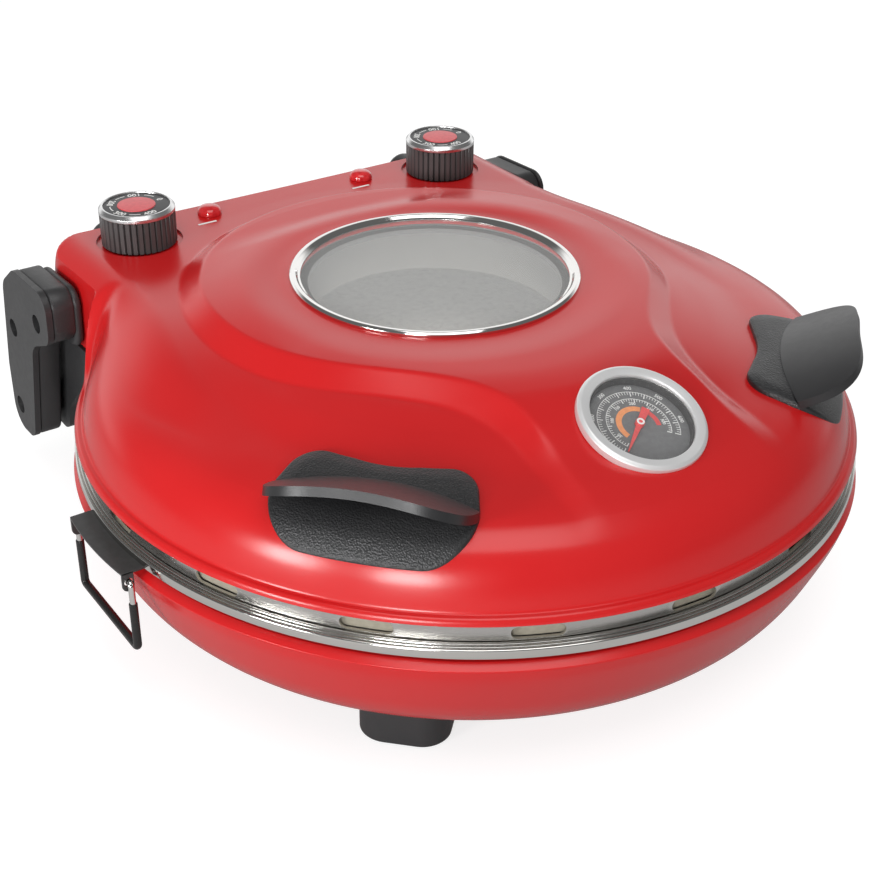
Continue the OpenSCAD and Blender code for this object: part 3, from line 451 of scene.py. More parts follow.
KNOB_R, KNOB_H = 18.1, 17.8
MARK_X, MARK_Y = -6.5, -10.5           # middle of the mark beside each light
LIGHT_AT = (44.3, 159.7, PANEL_Z)
GAUGE_TILT, GAUGE_R = 22.0, 26.4
COLLAR_Y, COLLAR_Z = 145.0, 24.5       # the screw that holds each hinge arm to the lid's side
DOME = np.array([
    (0, 0), (0.4, 1.4), (1.6, 2.7), (3.3, 3), (4.6, 7.5), (6.8, 14), (9.8, 19.6), (14.2, 24.6),
    (21, 28.6), (32, 31.6), (48, 34.6), (67, 40), (83, 43.4), (98, 44.6), (120, 45)], float)


def ease(t):
    """Smooth step from 0 to 1."""
    c = np.clip(t, 0, 1)
    return c * c * (3 - 2 * c)


def smax(a, b, k):
    """The greater of two values, rounded where they are within k of each other."""
    h = np.clip(0.5 + (a - b) / (2 * k), 0, 1)
    return b + (a - b) * h + k * h * (1 - h)


def smooth_curve(points, samples=1600):
    """Monotone cubic through the points, as a table for np.interp."""
    x, y = points[:, 0], points[:, 1]
    step, rise = np.diff(x), np.diff(y) / np.diff(x)
    slope = np.concatenate([[rise[0]], np.zeros(len(x) - 2), [rise[-1]]])
    for i in range(1, len(x) - 1):
        if rise[i - 1] * rise[i] > 0:
            a, b = 2 * step[i] + step[i - 1], step[i] + 2 * step[i - 1]
            slope[i] = (a + b) / (a / rise[i - 1] + b / rise[i])
    place = np.linspace(x[0], x[-1], samples)
    i = np.clip(np.searchsorted(x, place, side="right") - 1, 0, len(step) - 1)
    t = (place - x[i]) / step[i]
    return place, ((1 + 2 * t) * (1 - t) ** 2 * y[i] + t * (1 - t) ** 2 * step[i] * slope[i]
                   + t * t * (3 - 2 * t) * y[i + 1] + t * t * (t - 1) * step[i] * slope[i + 1])


DOME_X, DOME_Z = smooth_curve(DOME)


def dome_z(r):
    return LID_RIM_Z + np.interp(LID_R - r, DOME_X, DOME_Z)


def rear_share(y):
    """0 on the round part of the lid, 1 on the rear deck."""
    return ease((y - DECK_Y) / DECK_BLEND)


def panel_top(x, y, d):
    """The panel's own height, d being the distance from the lid's outline."""
    half = PANEL_HALF_W - 4 + 14 * ease((100 - y) / 95)
    sides = PANEL_SIDE_FALL * smax(np.abs(x) - half, 0, 12)
    front = PANEL_FRONT_FALL * smax(PANEL_FRONT_Y - y, 0, 40)
    rim = 2.2 * smax(12 - d, 0, 5) * (1 - rear_share(y))
    return PANEL_Z - sides - front - rim


def bell_depth(x, y):
    """Distance inside the bell's outline."""
    tongue = np.minimum(TONGUE_HALF - 0.06 * (y + 100) - np.abs(x), 20 - y)
    return smax(BELL_R - np.hypot(x, y - BELL_Y), tongue, BELL_BLEND)


def bell_z(x, y):
    """A straight wall with small rounds at its foot and its top; it fades out past the gauge."""
    t = bell_depth(x, y) / BELL_SLOPE
    wall = 1 - smax(1 - smax(t, 0, 0.12), 0, 0.12)
    return BELL_H * wall * ease((y - BELL_END_Y) / BELL_FADE)


def outline_r(a):
    """Radius of the lid's outline in a direction: a circle in front, a rounded box behind."""
    c, s = np.abs(np.cos(a)), np.sin(a)
    m = np.array([PANEL_HALF_W, PANEL_REAR_Y]) - PANEL_CORNER_R
    b = c * m[0] + s * m[1]
    corner = b + np.sqrt(np.maximum(0, b * b - m @ m + PANEL_CORNER_R ** 2))
    side, back = PANEL_HALF_W / np.maximum(c, 1e-3), PANEL_REAR_Y / np.maximum(s, 1e-3)
    reach = np.where(side * s < m[1], side, np.where(back * c < m[0], back, corner))
    return smax(LID_R, np.where(s <= 0.05, 0, reach), 1.5)


def edge_z(d):
    """The deck's steep side with its round top edge."""
    return LID_RIM_Z + (PANEL_Z - LID_RIM_Z + 1) * (1 - (1 - np.clip(d / DECK_EDGE_R, 0, 1)) ** 3) ** 0.36


def lid_z(x, y, d):
    """Height of the lid's outer face."""
    base = smax(dome_z(np.hypot(x, y)), panel_top(x, y, d), PANEL_BLEND)
    base = np.minimum(base, base + (edge_z(d) - base) * rear_share(y))
    top = base + bell_z(x, y)
    near = ease((WINDOW_R + SEAT_REACH - np.hypot(x, y - WINDOW_Y)) / SEAT_BLEND)
    return top + (WINDOW_SEAT_Z - top) * near


GAUGE_Y = -116.5
GAUGE_AT = (0.0, GAUGE_Y, float(lid_z(0.0, GAUGE_Y, 99.0)) - 0.4)


def lid_grid(thickness, insets, angles):
    """Rows of lid points from the rim, at the insets and then evenly, to the hole for the window."""
    reach = outline_r(angles)
    hole_r = WINDOW_R - 3.5
    end = WINDOW_Y * np.sin(angles) + np.sqrt(hole_r ** 2 - (WINDOW_Y * np.cos(angles)) ** 2)
    rows = [reach - d for d in insets]
    rows += [(reach - insets[-1]) * (1 - share) + end * share for share in np.linspace(0, 1, 190)[1:]]
    points = []
    for r in rows:
        x, y, d = r * np.cos(angles), r * np.sin(angles), reach - r
        z = np.where(d < 1e-6, LID_RIM_Z, lid_z(x, y, d))
        if thickness:
            k = (r - thickness) / r
            x, y, z = x * k, y * k, np.maximum(LID_RIM_Z, z - thickness)
        points.append(np.stack([x, y, z], 1))
    return np.array(points)


def build_lid_shell():
    """The outer face and the inner face under it, joined at the rim and at the window."""
    angles = np.radians(np.arange(0, 360, 0.6))
    insets = [0, 0.12, 0.3, 0.6, 1.0, 1.5, 2.0, 2.5, 2.9, 3.2, 3.5, 3.8, 4.2, 4.7, 5.3, 6, 6.8, 7.7, 8.7,
              9.8, 11, 12.4, 14, 16, 18.4, 21]
    outer = lid_grid(0, insets, angles)
    inner = lid_grid(LID_WALL, insets[::3], angles)[:-1]
    rows, columns = outer.shape[:2]
    points = np.concatenate([outer.reshape(-1, 3), inner[::-1].reshape(-1, 3)])
    total = rows + inner.shape[0]
    return points, grid_faces(total, columns, True, True)


lid_points, lid_faces = build_lid_shell()
shell = piece("lid_shell_smooth", lid_points, lid_faces, RED, "lid", ("lid_shell",), 50)
gauge_place = tilted(np.array(GAUGE_AT), GAUGE_TILT)
seat_points, seat_faces = cylinder_points((0, 0, -30), (0, 0, 30), GAUGE_R - 1, 128)


def upright(x, y, low, radius, segments=48):
    """A cutter that stands at a place on the lid and ends above it."""
    return cylinder_points((x, y, low), (x, y, 80), radius, segments)


RECESS_DEPTH, RECESS_GAP = 1.3, 2.5
SHAFT_HOLE_R, LIGHT_HOLE_R, SCREW_HOLE_R = 5.4, 4.6, 2.1
cut(shell, [upright(s * KNOB_AT[0], KNOB_AT[1], PANEL_Z - RECESS_DEPTH, KNOB_R + RECESS_GAP, 128)
            for s in (-1, 1)])
cutters = [(gauge_place(seat_points), seat_faces)]
for s in (-1, 1):
    cutters.append(upright(s * KNOB_AT[0], KNOB_AT[1], 30, SHAFT_HOLE_R))
    cutters.append(upright(s * LIGHT_AT[0], LIGHT_AT[1], 30, LIGHT_HOLE_R))
    cutters.append(cylinder_points((s * 100, COLLAR_Y, COLLAR_Z), (s * 140, COLLAR_Y, COLLAR_Z),
                                   SCREW_HOLE_R))
cut(shell, cutters)


# ---- turned pieces
def spline(points, steps=8):
    """Catmull-Rom curve through the points."""
    p = np.array(points, float)
    p = np.concatenate([[2 * p[0] - p[1]], p, [2 * p[-1] - p[-2]]])
    result = []
    for i in range(1, len(p) - 2):
        for t in np.linspace(0, 1, steps, endpoint=False):
            result.append(0.5 * (2 * p[i] + (p[i + 1] - p[i - 1]) * t
                                 + (2 * p[i - 1] - 5 * p[i] + 4 * p[i + 1] - p[i + 2]) * t * t
                                 + (3 * p[i] - p[i - 1] - 3 * p[i + 1] + p[i + 2]) * t ** 3))
    return result + [p[-2]]


BAND_Z, BOWL_TOP, BOWL_Z = -3.02, -4.8, -54.0
BOWL_EDGE_R, FLANGE_R, BOWL_WALL = 175.3, 167.8, 1.4
RIM_LOW, PAN_FLOOR = -1.5, -24.0        # underside of the bright rim's lip, top of the pan's floor
BOWL = spline([(BOWL_EDGE_R, -7.8), (173.6, -14), (169.7, -24), (165.3, -34), (160.2, -42),
               (153.8, -48), (142, -52), (121, -53.7), (98, BOWL_Z)])


def beside_bowl(gap, drop):
    """The bowl's side moved out by a gap and, towards its floor, down by a drop."""
    return [(r + gap, z - drop * min(1, (BOWL_EDGE_R - r) / 20)) for r, z in BOWL]


lathe("bowl_smooth",
      [(FLANGE_R, BOWL_TOP, 0.2), (172, BOWL_TOP - 0.2, 0.6), (BOWL_EDGE_R, -7.3, 0.4)]
      + [(r, z, 0) for r, z in BOWL]
      + [(50, BOWL_Z, 0), (0, BOWL_Z, 0), (0, BOWL_Z + BOWL_WALL, 0), (50, BOWL_Z + BOWL_WALL, 0)]
      + [(r, z, 0) for r, z in beside_bowl(-BOWL_WALL, -BOWL_WALL)[::-1]]
      + [(BOWL_EDGE_R - BOWL_WALL, -8.4, 0.3), (171.4, -6.4, 0.3), (FLANGE_R, -6.2, 0.2)],
      RED, "base", ("base_bowl",), segments=288)
lathe("rim_gasket_smooth", band(FLANGE_R, 171, BOWL_TOP + 0.05, RIM_LOW - 0.05, 0.2, 0.4, 0.4, 0.2),
      RUBBER, "base", ("rim_gasket",), segments=256)
RIM_LIP = [(172.9, 0, 0.6), (172.9, -1.1, 0.3), (174, -1.1, 0.35), (174, 2.75, 0.9), (173.15, 3.1, 0.3),
           (172.95, 2.6, 0.12), (172.72, 2.6, 0.12), (172.5, 3.3, 0.35), (171.95, 3.5, 0.3),
           (171.78, 3.0, 0.12), (171.55, 3.0, 0.12), (171.3, 3.75, 0.35), (170.8, 3.95, 0.4),
           (167.2, 4.0, 0.9), (166.3, 3.0, 0.8)]
lathe("pan_smooth",
      [(0, PAN_FLOOR - 1.2, 0), (151.2, PAN_FLOOR - 1.2, 3), (151.2, -8.2, 1.5), (167.5, -8.2, 1.5),
       (167.5, RIM_LOW, 1)]
      + [(r, RIM_LOW + z, c) for r, z, c in RIM_LIP]
      + [(166.3, -7, 2), (150, -7, 2), (150, PAN_FLOOR, 4), (0, PAN_FLOOR, 0)],
      RIM_STEEL, "base", ("base_pan",), segments=320)
lathe("stone_smooth", [(0, -7, 0), (158.9, -7, 1.5), (160, -6, 1.5), (160, 3, 1.6), (0, 3, 0)],
      STONE, "base", ("baking_stone",), segments=192)

LINER = [(3, 0.2), (5, 3.6), (8.5, 8.6), (14, 14.6), (22, 19.6), (32, 22.6), (50, 25.1), (70, 26.6)]
LINER_TOP = LID_RIM_Z + LINER[-1][1]
LINER_HOLE_R, LINER_WALL = 90.5, 1.2
liner_in = spline([(LINER_R - d - 0.9, LID_RIM_Z + z - LINER_WALL) for d, z in LINER], 5)
liner_out = spline([(LINER_R - d, LID_RIM_Z + z) for d, z in LINER], 5)
SEAM_Z = 2.8                            # lower edge of the liner's band
SLOT_HALF_L, SLOT_HALF_H, SLOT_UP = 10.2, 2.6, 3.3
SLOT_COUNT, FIRST_SLOT = 17, 244


def slot_cutter(angle):
    """A round-ended slot through the liner's band."""
    outline = rounded([(a * SLOT_HALF_L, h * SLOT_HALF_H, SLOT_HALF_H - 0.1)
                       for a, h in ((-1, -1), (1, -1), (1, 1), (-1, 1))], 8)
    points = [(r, a, SEAM_Z + SLOT_UP + h) for r in (LINER_R - 6, LINER_R + 6) for a, h in outline]
    return spun(points, angle), extruded_faces(len(outline))


liner = lathe("liner_smooth",
              [(168.8, SEAM_Z, 0.3), (LINER_R, SEAM_Z, 0.4), (LINER_R, 10.5, 0.6), (172.2, 10.5, 0.2),
               (172.2, 11.1, 0.2), (168.4, 11.1, 0.3)]
              + [(r, z, 0) for r, z in liner_out]
              + [(LINER_HOLE_R, LINER_TOP, 0), (LINER_HOLE_R, LINER_TOP - LINER_WALL, 0)]
              + [(r, z, 0) for r, z in liner_in[::-1]]
              + [(168.8, 10, 0.2)],
              SATIN, "lid", ("lid_liner",), segments=240)
cut(liner, [slot_cutter(math.radians(FIRST_SLOT + k * 360 / SLOT_COUNT)) for k in range(SLOT_COUNT)])
lathe("liner_backing", band(166.6, 167.6, SEAM_Z + 0.3, 10.2, 0.1, 0.1, 0.1, 0.1),
      FIBRE, "lid", ())
lathe("liner_collar", band(58.4, 59.6, LINER_TOP - LINER_WALL, 55.8, 0, 0, 0, 0),
      SATIN, "lid", (), (0, WINDOW_Y, 0))


# ---- window
lathe("window_ring_smooth",
      [(60.2, 0, 0.1), (WINDOW_R, 0, 0.2), (WINDOW_R, 1.3, 0.6), (64.2, 2.2, 0.8), (62.4, 2.1, 0.8),
       (61.3, 0.9, 0.3), (60.2, 0.4, 0.1)],
      CHROME, "lid", ("window_ring",), (0, WINDOW_Y, WINDOW_SEAT_Z), segments=256, steps=4)
lathe("window_glass_smooth", band(0, 61.2, -3, -0.02, 0, 0.2, 0.2, 0),
      CLEAR, "lid", ("window_glass",), (0, WINDOW_Y, WINDOW_SEAT_Z), segments=192)
finish_node("window_gasket", RUBBER)


# ---- print on dials
def flat_print(name, outlines, height, place, material, body, thickness=0.06):
    """Thin raised ink: closed outlines of (a, b), placed on a surface."""
    points, faces = [], []
    for outline in outlines:
        faces += extruded_faces(len(outline), len(points))
        points += [(a, b, h) for h in (height, height + thickness) for a, b in outline]
    return piece(name, place(np.array(points, float)), faces, material, body)


def arc_band(r_in, r_out, start, end, steps):
    """Band between two radii, angles in degrees clockwise from 12 o'clock."""
    angles = np.radians(90 - np.linspace(start, end, steps + 1))
    return ([(r_out * math.cos(a), r_out * math.sin(a)) for a in angles]
            + [(r_in * math.cos(a), r_in * math.sin(a)) for a in angles[::-1]])


def tick(angle, r_in, r_out, width):
    """A stroke of a scale that points to its middle."""
    a = math.radians(90 - angle)
    along, side = np.array([math.cos(a), math.sin(a)]), np.array([-math.sin(a), math.cos(a)]) * width / 2
    return [tuple(along * r_out + side), tuple(along * r_out - side),
            tuple(along * r_in - side), tuple(along * r_in + side)][::-1]


def number(name, value, size, radius, angle, turn, height, place, body):
    """A white printed number as a thin mesh, at an angle clockwise from 12 o'clock."""
    curve = bpy.data.curves.new(name, "FONT")
    curve.body = str(value)
    curve.size = size
    curve.extrude = 0.03
    curve.offset = size * 0.012
    curve.align_x, curve.align_y = "CENTER", "CENTER"
    holder = linked(name + "_text", curve)
    mesh = evaluated_mesh(holder)
    bpy.data.objects.remove(holder)
    a = math.radians(90 - angle)
    middle = [radius * math.cos(a), radius * math.sin(a), height + 0.03]
    points = spun([v.co for v in mesh.vertices], math.radians(turn)) + middle
    faces = [list(f.vertices) for f in mesh.polygons]
    return piece(name, place(points), faces, WHITE_INK, body)


# ---- gauge
def gauge_lathe(name, path, material, nodes, segments=192):
    return lathe(name, path, material, "lid", nodes, GAUGE_AT, GAUGE_TILT, segments, 5)


DIAL_Z, DIAL_R, CASE_FLOOR = -1.6, 20.75, -2.4
gauge_lathe("gauge_seat", band(GAUGE_R - 2.4, GAUGE_R - 0.1, -9, -0.1, 0, 0.3, 0.5, 0.2),
            RED, ())
gauge_lathe("gauge_bezel_smooth",
            [(21.9, 0, 0.2), (GAUGE_R, 0, 0.3), (GAUGE_R, 3.2, 0.9), (GAUGE_R - 1.4, 4.1, 0.9),
             (21.5, 3.8, 0.35), (21.3, 3.1, 0.2), (21.3, 0.6, 0.2), (21.9, 0.4, 0.1)],
            BEZEL, ("gauge_bezel",))
gauge_lathe("gauge_wall", band(DIAL_R, 21.25, -1.7, 2.05, 0, 0, 0, 0.1), BLACK_METAL, ())
gauge_lathe("gauge_case_smooth",
            [(0, -9, 0), (21.5, -9, 1), (21.5, 2.1, 0.2), (21.26, 2.1, 0.1), (21.26, CASE_FLOOR, 0.1),
             (0, CASE_FLOOR, 0)],
            SATIN, ("gauge_case",))
gauge_lathe("gauge_dial_smooth", band(0, DIAL_R, CASE_FLOOR, DIAL_Z - 0.02, 0, 0.1, 0.1, 0),
            DIAL, ("gauge_dial",))
gauge_lathe("gauge_glass_smooth", band(0, 21.3, 2.1, 3.0, 0, 0.2, 0.3, 0),
            GAUGE_CLEAR, ("gauge_glass",))
finish_node("gauge_probe", CHROME)

SCALE_START, SCALE_END = -122.0, 128.0
FIRST_NUMBER, NUMBER_STEP = -98, 40
for part, r_out, long, short, count in (("outer", 16.9, 2.3, 1.5, 60), ("inner", 13.3, 1.9, 1.2, 50)):
    marks = [tick(angle, r_out - (short if k % 5 else long), r_out, 0.22 if k % 5 else 0.4)
             for k, angle in enumerate(np.linspace(SCALE_START, SCALE_END, count + 1))]
    marks.append(arc_band(r_out - 0.1, r_out + 0.12, SCALE_START, SCALE_END, 60))
    flat_print("gauge_ticks_" + part, marks, DIAL_Z, gauge_place, WHITE_INK, "lid")
flat_print("gauge_arc_orange", [arc_band(7.0, 9.4, -112, 40, 40)], DIAL_Z, gauge_place, ORANGE_INK, "lid")
flat_print("gauge_arc_red", [arc_band(7.4, 9.4, 43, 112, 24)], DIAL_Z, gauge_place, RED_INK, "lid")
for part, radius, size, values in (
        ("outer", 18.8, 2.3, range(100, 700, 100)), ("inner", 10.8, 1.9, range(50, 350, 50))):
    for k, value in enumerate(values):
        angle = FIRST_NUMBER + NUMBER_STEP * k
        number("gauge_%s_%d" % (part, value), value, size, radius, angle, -angle, DIAL_Z, gauge_place,
               "lid")
POINTER_TURN = math.radians(217)


def pointer_place(points):
    """Turns the needle, drawn to the right, to the temperature that the photo shows."""
    return gauge_place(spun(points, POINTER_TURN))


NEEDLE = [(0, -1.3), (16.8, -0.25), (17, 0), (16.8, 0.25), (0, 1.3), (-8.4, 1.7), (-8.4, -1.7)]
flat_print("pointer_needle", [NEEDLE], -0.4, pointer_place, RED_INK, "gauge_pointer", 0.5)
lathe("pointer_hub", [(0, -1.6, 0), (1.9, -1.6, 0.1), (1.9, 0.6, 0.4), (0, 0.65, 0)],
      RED_INK, "gauge_pointer", ("gauge_pointer",), GAUGE_AT, GAUGE_TILT, 64, 4)
lathe("pointer_hub_ring", band(0.85, 1.6, 0.5, 0.75, 0, 0, 0.05, 0.05),
      WHITE_INK, "gauge_pointer", (), GAUGE_AT, GAUGE_TILT, 64, 3)


# ---- knobs and lights
RIBS = 38
GROOVE = ((0, 0), (0.31, 0.04), (0.62, 0), (0.67, 0.25), (0.73, 0.95), (0.81, 1.15), (0.89, 0.95),
          (0.95, 0.25))                 # one rib and the groove beside it: (share of its arc, depth)
KNOB_FIRST, KNOB_STEP = 88, 68.5       # angles of the numbers on a knob, which run anticlockwise


def build_knob(side):
    name = SIDES[side]
    body = "knob_" + name
    centre = np.array([side * KNOB_AT[0], KNOB_AT[1], KNOB_AT[2]])
    place = tilted(centre, 0)
    outline = [(KNOB_R - 0.1 - depth, 2 * math.pi * (k + share) / RIBS)
               for k in range(RIBS) for share, depth in GROOVE]
    top = KNOB_H + 0.5
    ring_low, face = top - 3.1, top - 0.6
    levels = [(-0.7, 0.6), (-0.2, 0.05), (ring_low - 0.2, 0), (ring_low, 0.25)]
    points = [((r - inset) * math.cos(a), (r - inset) * math.sin(a), h)
              for h, inset in levels for r, a in outline]
    piece("knob_grip_" + name, place(points), capped_faces(len(levels), len(outline)),
          KNOB_GRIP, body, ("knob_body_" + name,))

    def turned(part, path, material, node):
        lathe("knob_%s_%s" % (part, name), path, material, body, (node + name,), centre, 0, 160, 5)

    turned("ring_smooth",
           [(15.7, ring_low, 0.1), (KNOB_R, ring_low, 0.15), (KNOB_R, ring_low + 1.5, 0.4),
            (KNOB_R - 1.3, top, 0.6), (15.9, top, 0.25), (15.7, top - 0.7, 0.1)],
           RING_STEEL, "knob_ring_")
    turned("dial_smooth", band(0, 15.68, ring_low, face, 0, 0.1, 0.2, 0),
           KNOB_DIAL, "knob_dial_")
    turned("cap_smooth", [(0, face, 0), (9.1, face, 0.05), (8.9, top - 0.15, 0.2), (0, top - 0.05, 0)],
           CAP_RED, "knob_cap_")
    finish_node("knob_shaft_" + name, CHROME)
    print_z = top - 0.58
    angles = [KNOB_FIRST - KNOB_STEP * k for k in range(5)]
    for k, angle in enumerate(angles):
        number("knob_%s_number_%d" % (name, 100 * k), 100 * k, 4.3, 12.5, angle, 180 - angle, print_z,
               place, body)
    arcs = [arc_band(12.2, 12.7, angle - 22, angle - 46.5, 10) for angle in angles[:4]]
    flat_print("knob_%s_arcs" % name, arcs, print_z, place, WHITE_INK, body)


def build_light(side):
    """A pilot light, the plain mark beside it and the switch under them."""
    name = SIDES[side]
    light = np.array([side * LIGHT_AT[0], LIGHT_AT[1], LIGHT_AT[2] + 0.05])
    dome = spline([(6.0, 1.5), (5.5, 2.7), (4.2, 3.75), (2.2, 4.3), (0, 4.45)], 5)
    lathe("pilot_lens_" + name, [(0, 0, 0), (6.0, 0, 0.15)] + [(r, z, 0) for r, z in dome], LENS, "lid",
          ("pilot_light_" + name,), light, 0, 96, 4)
    mark = [(MARK_X + a * 5, MARK_Y + b * 0.7) for a, b in ((-1, -1), (1, -1), (1, 1), (-1, 1))]
    flat_print("light_mark_" + name, [mark], 0.0, tilted(light, 0), WHITE_INK, "lid", 0.08)
    finish_node("heat_switch_" + name, BLACK)


for side in SIDES:
    build_knob(side)
    build_light(side)


# ---- handles
HANDLE_MID_R = LID_R - 26.75
PLATE_IN_R, PLATE_OUT_R = LID_R - 48.4, LID_R - 8.5
HALF_L, PLATE_T = 39.5, 3.2
FIN_TILT, FIN_T, FIN_REACH = 24.6, 3.6, 33.3
FIN_ROOT_R, FIN_ROOT_CURVE = 136.1, 7.25
FIN_ROWS, FIN_COLUMNS = 13, 121


def inset_path(path, distance):
    """Closed counter-clockwise path moved inward."""
    p = np.array(path)
    before, after = np.roll(p, 1, 0), np.roll(p, -1, 0)
    a, b = p - before, after - p
    mean = a / np.linalg.norm(a, axis=1)[:, None] + b / np.linalg.norm(b, axis=1)[:, None]
    normal = np.stack([-mean[:, 1], mean[:, 0]], 1)
    normal /= np.linalg.norm(normal, axis=1)[:, None]
    return p + normal * distance


def in_steps(path, step):
    """Closed path with points about a step apart."""
    result = []
    for a, b in zip(path, np.roll(path, -1, 0)):
        n = max(1, round(np.linalg.norm(b - a) / step))
        result += [a + (b - a) * k / n for k in range(n)]
    return np.array(result)


def plate_path():
    """Outline of the plate in (distance round the lid, radius from its axis)."""
    hollow = [(s, PLATE_IN_R + 1.8 * (1 - (s / 20) ** 2), 0) for s in range(-15, 20, 5)]
    path = [(-HALF_L, PLATE_IN_R, 15)] + hollow + [(HALF_L, PLATE_IN_R, 15)]
    path += [(HALF_L, PLATE_OUT_R, 19), (-HALF_L, PLATE_OUT_R, 19)]
    return in_steps(rounded(path, 14), 1.2)


def triangulate(loop, spacing):
    """Points and triangles that fill a closed loop."""
    low, high = loop.min(0), loop.max(0)
    xs, ys = np.arange(low[0], high[0], spacing), np.arange(low[1], high[1], spacing)
    a, b = loop, np.roll(loop, -1, 0)
    inside = []
    for k, y in enumerate(ys):
        for x in xs + (k % 2) * spacing / 2:
            across = ((a[:, 1] > y) != (b[:, 1] > y))
            if not across.any():
                continue
            share = (y - a[across, 1]) / (b[across, 1] - a[across, 1])
            cross = a[across, 0] + share * (b[across, 0] - a[across, 0])
            if (cross > x).sum() % 2 and np.hypot(loop[:, 0] - x, loop[:, 1] - y).min() > spacing * 0.55:
                inside.append((x, y))
    points = [Vector(p) for p in np.concatenate([loop, inside])]
    count = len(loop)
    out = delaunay_2d_cdt(points, [(i, (i + 1) % count) for i in range(count)], [], 1, 1e-6)
    return np.array([tuple(p) for p in out[0]]), [list(f) for f in out[2]]


def build_handle(side, angle):
    """A flat plate with a winged fin on it, drawn in front and turned to its own angle."""
    name = SIDES[side]
    turn = math.radians(angle) * side

    def on_dome(path, height):
        """The plate's outline laid on the dome; it is thinner at its outer end."""
        a = path[:, 0] / HANDLE_MID_R
        r = path[:, 1]
        raised = height * (1 - 0.62 * ease((r - LID_R + 24) / 14))
        return np.stack([r * np.sin(a), -r * np.cos(a), dome_z(r) + raised], 1)

    path = plate_path()
    loops = [(0, 0.0), (0, 1.5), (0.25, 2.05), (0.8, 2.4), (1.5, 2.55), (3, 2.8), (4.5, 3.05), (6, PLATE_T)]
    rings = [on_dome(inset_path(path, inset), height) for inset, height in loops]
    points, faces = list(np.concatenate(rings)), grid_faces(len(loops), len(path))
    inmost = inset_path(path, loops[-1][0])
    for loop, spacing, height, order in ((inmost, 2.2, PLATE_T, 1), (path, 4.0, 0.0, -1)):
        flat, triangles = triangulate(loop, spacing)
        faces += [[len(points) + i for i in t[::order]] for t in triangles]
        points += list(on_dome(flat, height))
    piece("handle_plate_" + name, spun(points, turn), faces,
          LEATHER, "lid", ("handle_" + name,), 50)

    tilt = math.radians(FIN_TILT)
    along, up = math.cos(tilt), math.sin(tilt)
    u = np.sin(np.linspace(-1, 1, FIN_COLUMNS) * math.pi / 2)
    root = FIN_ROOT_R + FIN_ROOT_CURVE * u * u
    root_z = dome_z(np.hypot(root, 40 * u)) + PLATE_T
    reach = FIN_REACH * (1 - np.abs(u) ** 3.22).clip(0) ** 0.39
    top_rows, low_rows = [], []
    for w in np.linspace(0, 1, FIN_ROWS):
        r, z = root + w * reach * along, root_z + w * reach * up + 0.15
        top_rows.append(np.stack([HALF_L * u, -r, z], 1))
        low_rows.append(np.stack([HALF_L * u, -(r + FIN_T * up), z - FIN_T * along], 1))
    foot = low_rows[0]
    foot[:, 2] = np.maximum(foot[:, 2], dome_z(np.hypot(foot[:, 0], foot[:, 1])) + 0.5)
    fin = np.array(top_rows + low_rows[::-1])
    rows = len(fin)
    faces = grid_faces(rows, FIN_COLUMNS, False, True)
    faces += [[r * FIN_COLUMNS for r in range(rows)],
              [r * FIN_COLUMNS + FIN_COLUMNS - 1 for r in range(rows)][::-1]]
    bevelled(piece("handle_fin_" + name, spun(fin.reshape(-1, 3), turn), faces,
                   FIN, "lid", (), 40), 0.45, 3, 40)
    finish_node("rest_" + name, BLACK)


build_handle(-1, 48.6)
build_handle(1, 44.9)


# ---- hinges and rear housing
HINGE_Y, HINGE_Z = 186.0, -38.0
ARM_X, COVER_X, COVER_OUT = 130.0, 141.5, 144.5
ARM = [(COLLAR_Y - 15.5, COLLAR_Z + 19.5, 9), (PANEL_REAR_Y - 7, COLLAR_Z + 18, 9),
       (HINGE_Y + 0.5, COLLAR_Z + 6, 12), (HINGE_Y + 9, HINGE_Z + 20, 16),
       (HINGE_Y + 9, HINGE_Z - 13.5, 12), (HINGE_Y - 15.5, HINGE_Z - 12.5, 8),
       (COLLAR_Y + 10.5, COLLAR_Z - 16, 14), (COLLAR_Y - 14, COLLAR_Z - 5, 9)]
ARM_ROOT = [(COLLAR_Y - 15.2, COLLAR_Z + 19.2, 9), (PANEL_REAR_Y - 7, COLLAR_Z + 17.7, 9),
            (PANEL_REAR_Y - 1, COLLAR_Z, 8), (PANEL_REAR_Y - 8, COLLAR_Z - 12.5, 6),
            (COLLAR_Y - 13.7, COLLAR_Z - 12.5, 9)]
ARM_SCREWS = [(HINGE_Y - 6, HINGE_Z + 46), (COLLAR_Y, COLLAR_Z), (HINGE_Y, HINGE_Z)]
ARM_HOLE_R = 4.6


def build_hinge(side):
    """An arm from the lid's side down to the pin, the block at its root and its cover plate."""
    name = SIDES[side]

    def slab(part, outline, low, high, nodes):
        return prism("hinge_%s_%s" % (part, name), outline, low, high, lambda a, b, h: (side * h, a, b),
                     BLACK, "lid", nodes)

    def hole(low, high, at):
        return cylinder_points((side * low, *at), (side * high, *at), ARM_HOLE_R, 64)

    outline = rounded(ARM, 14)
    arm = slab("arm_smooth", outline, ARM_X, COVER_X, ("hinge_arm_" + name,))
    bevelled(slab("root", rounded(ARM_ROOT, 10), 126.5, ARM_X + 1, ()), 2.2, 4)
    bevelled(arm, 1.6, 4)
    cover = slab("cover_smooth", inset_path(outline, 0.35), COVER_X, COVER_OUT, ("hinge_cover_" + name,))
    cut(cover, [hole(COVER_X - 1, COVER_OUT + 1, at) for at in ARM_SCREWS])
    bevelled(cover, 1.8, 5)
    holes = [hole(COVER_X - 4, COVER_X + 1, at) for at in ARM_SCREWS[:2]]
    cut(arm, holes + [hole(ARM_X - 1, COVER_X + 1, ARM_SCREWS[2])])
    finish_node("hinge_screws_" + name, BLACK_METAL)


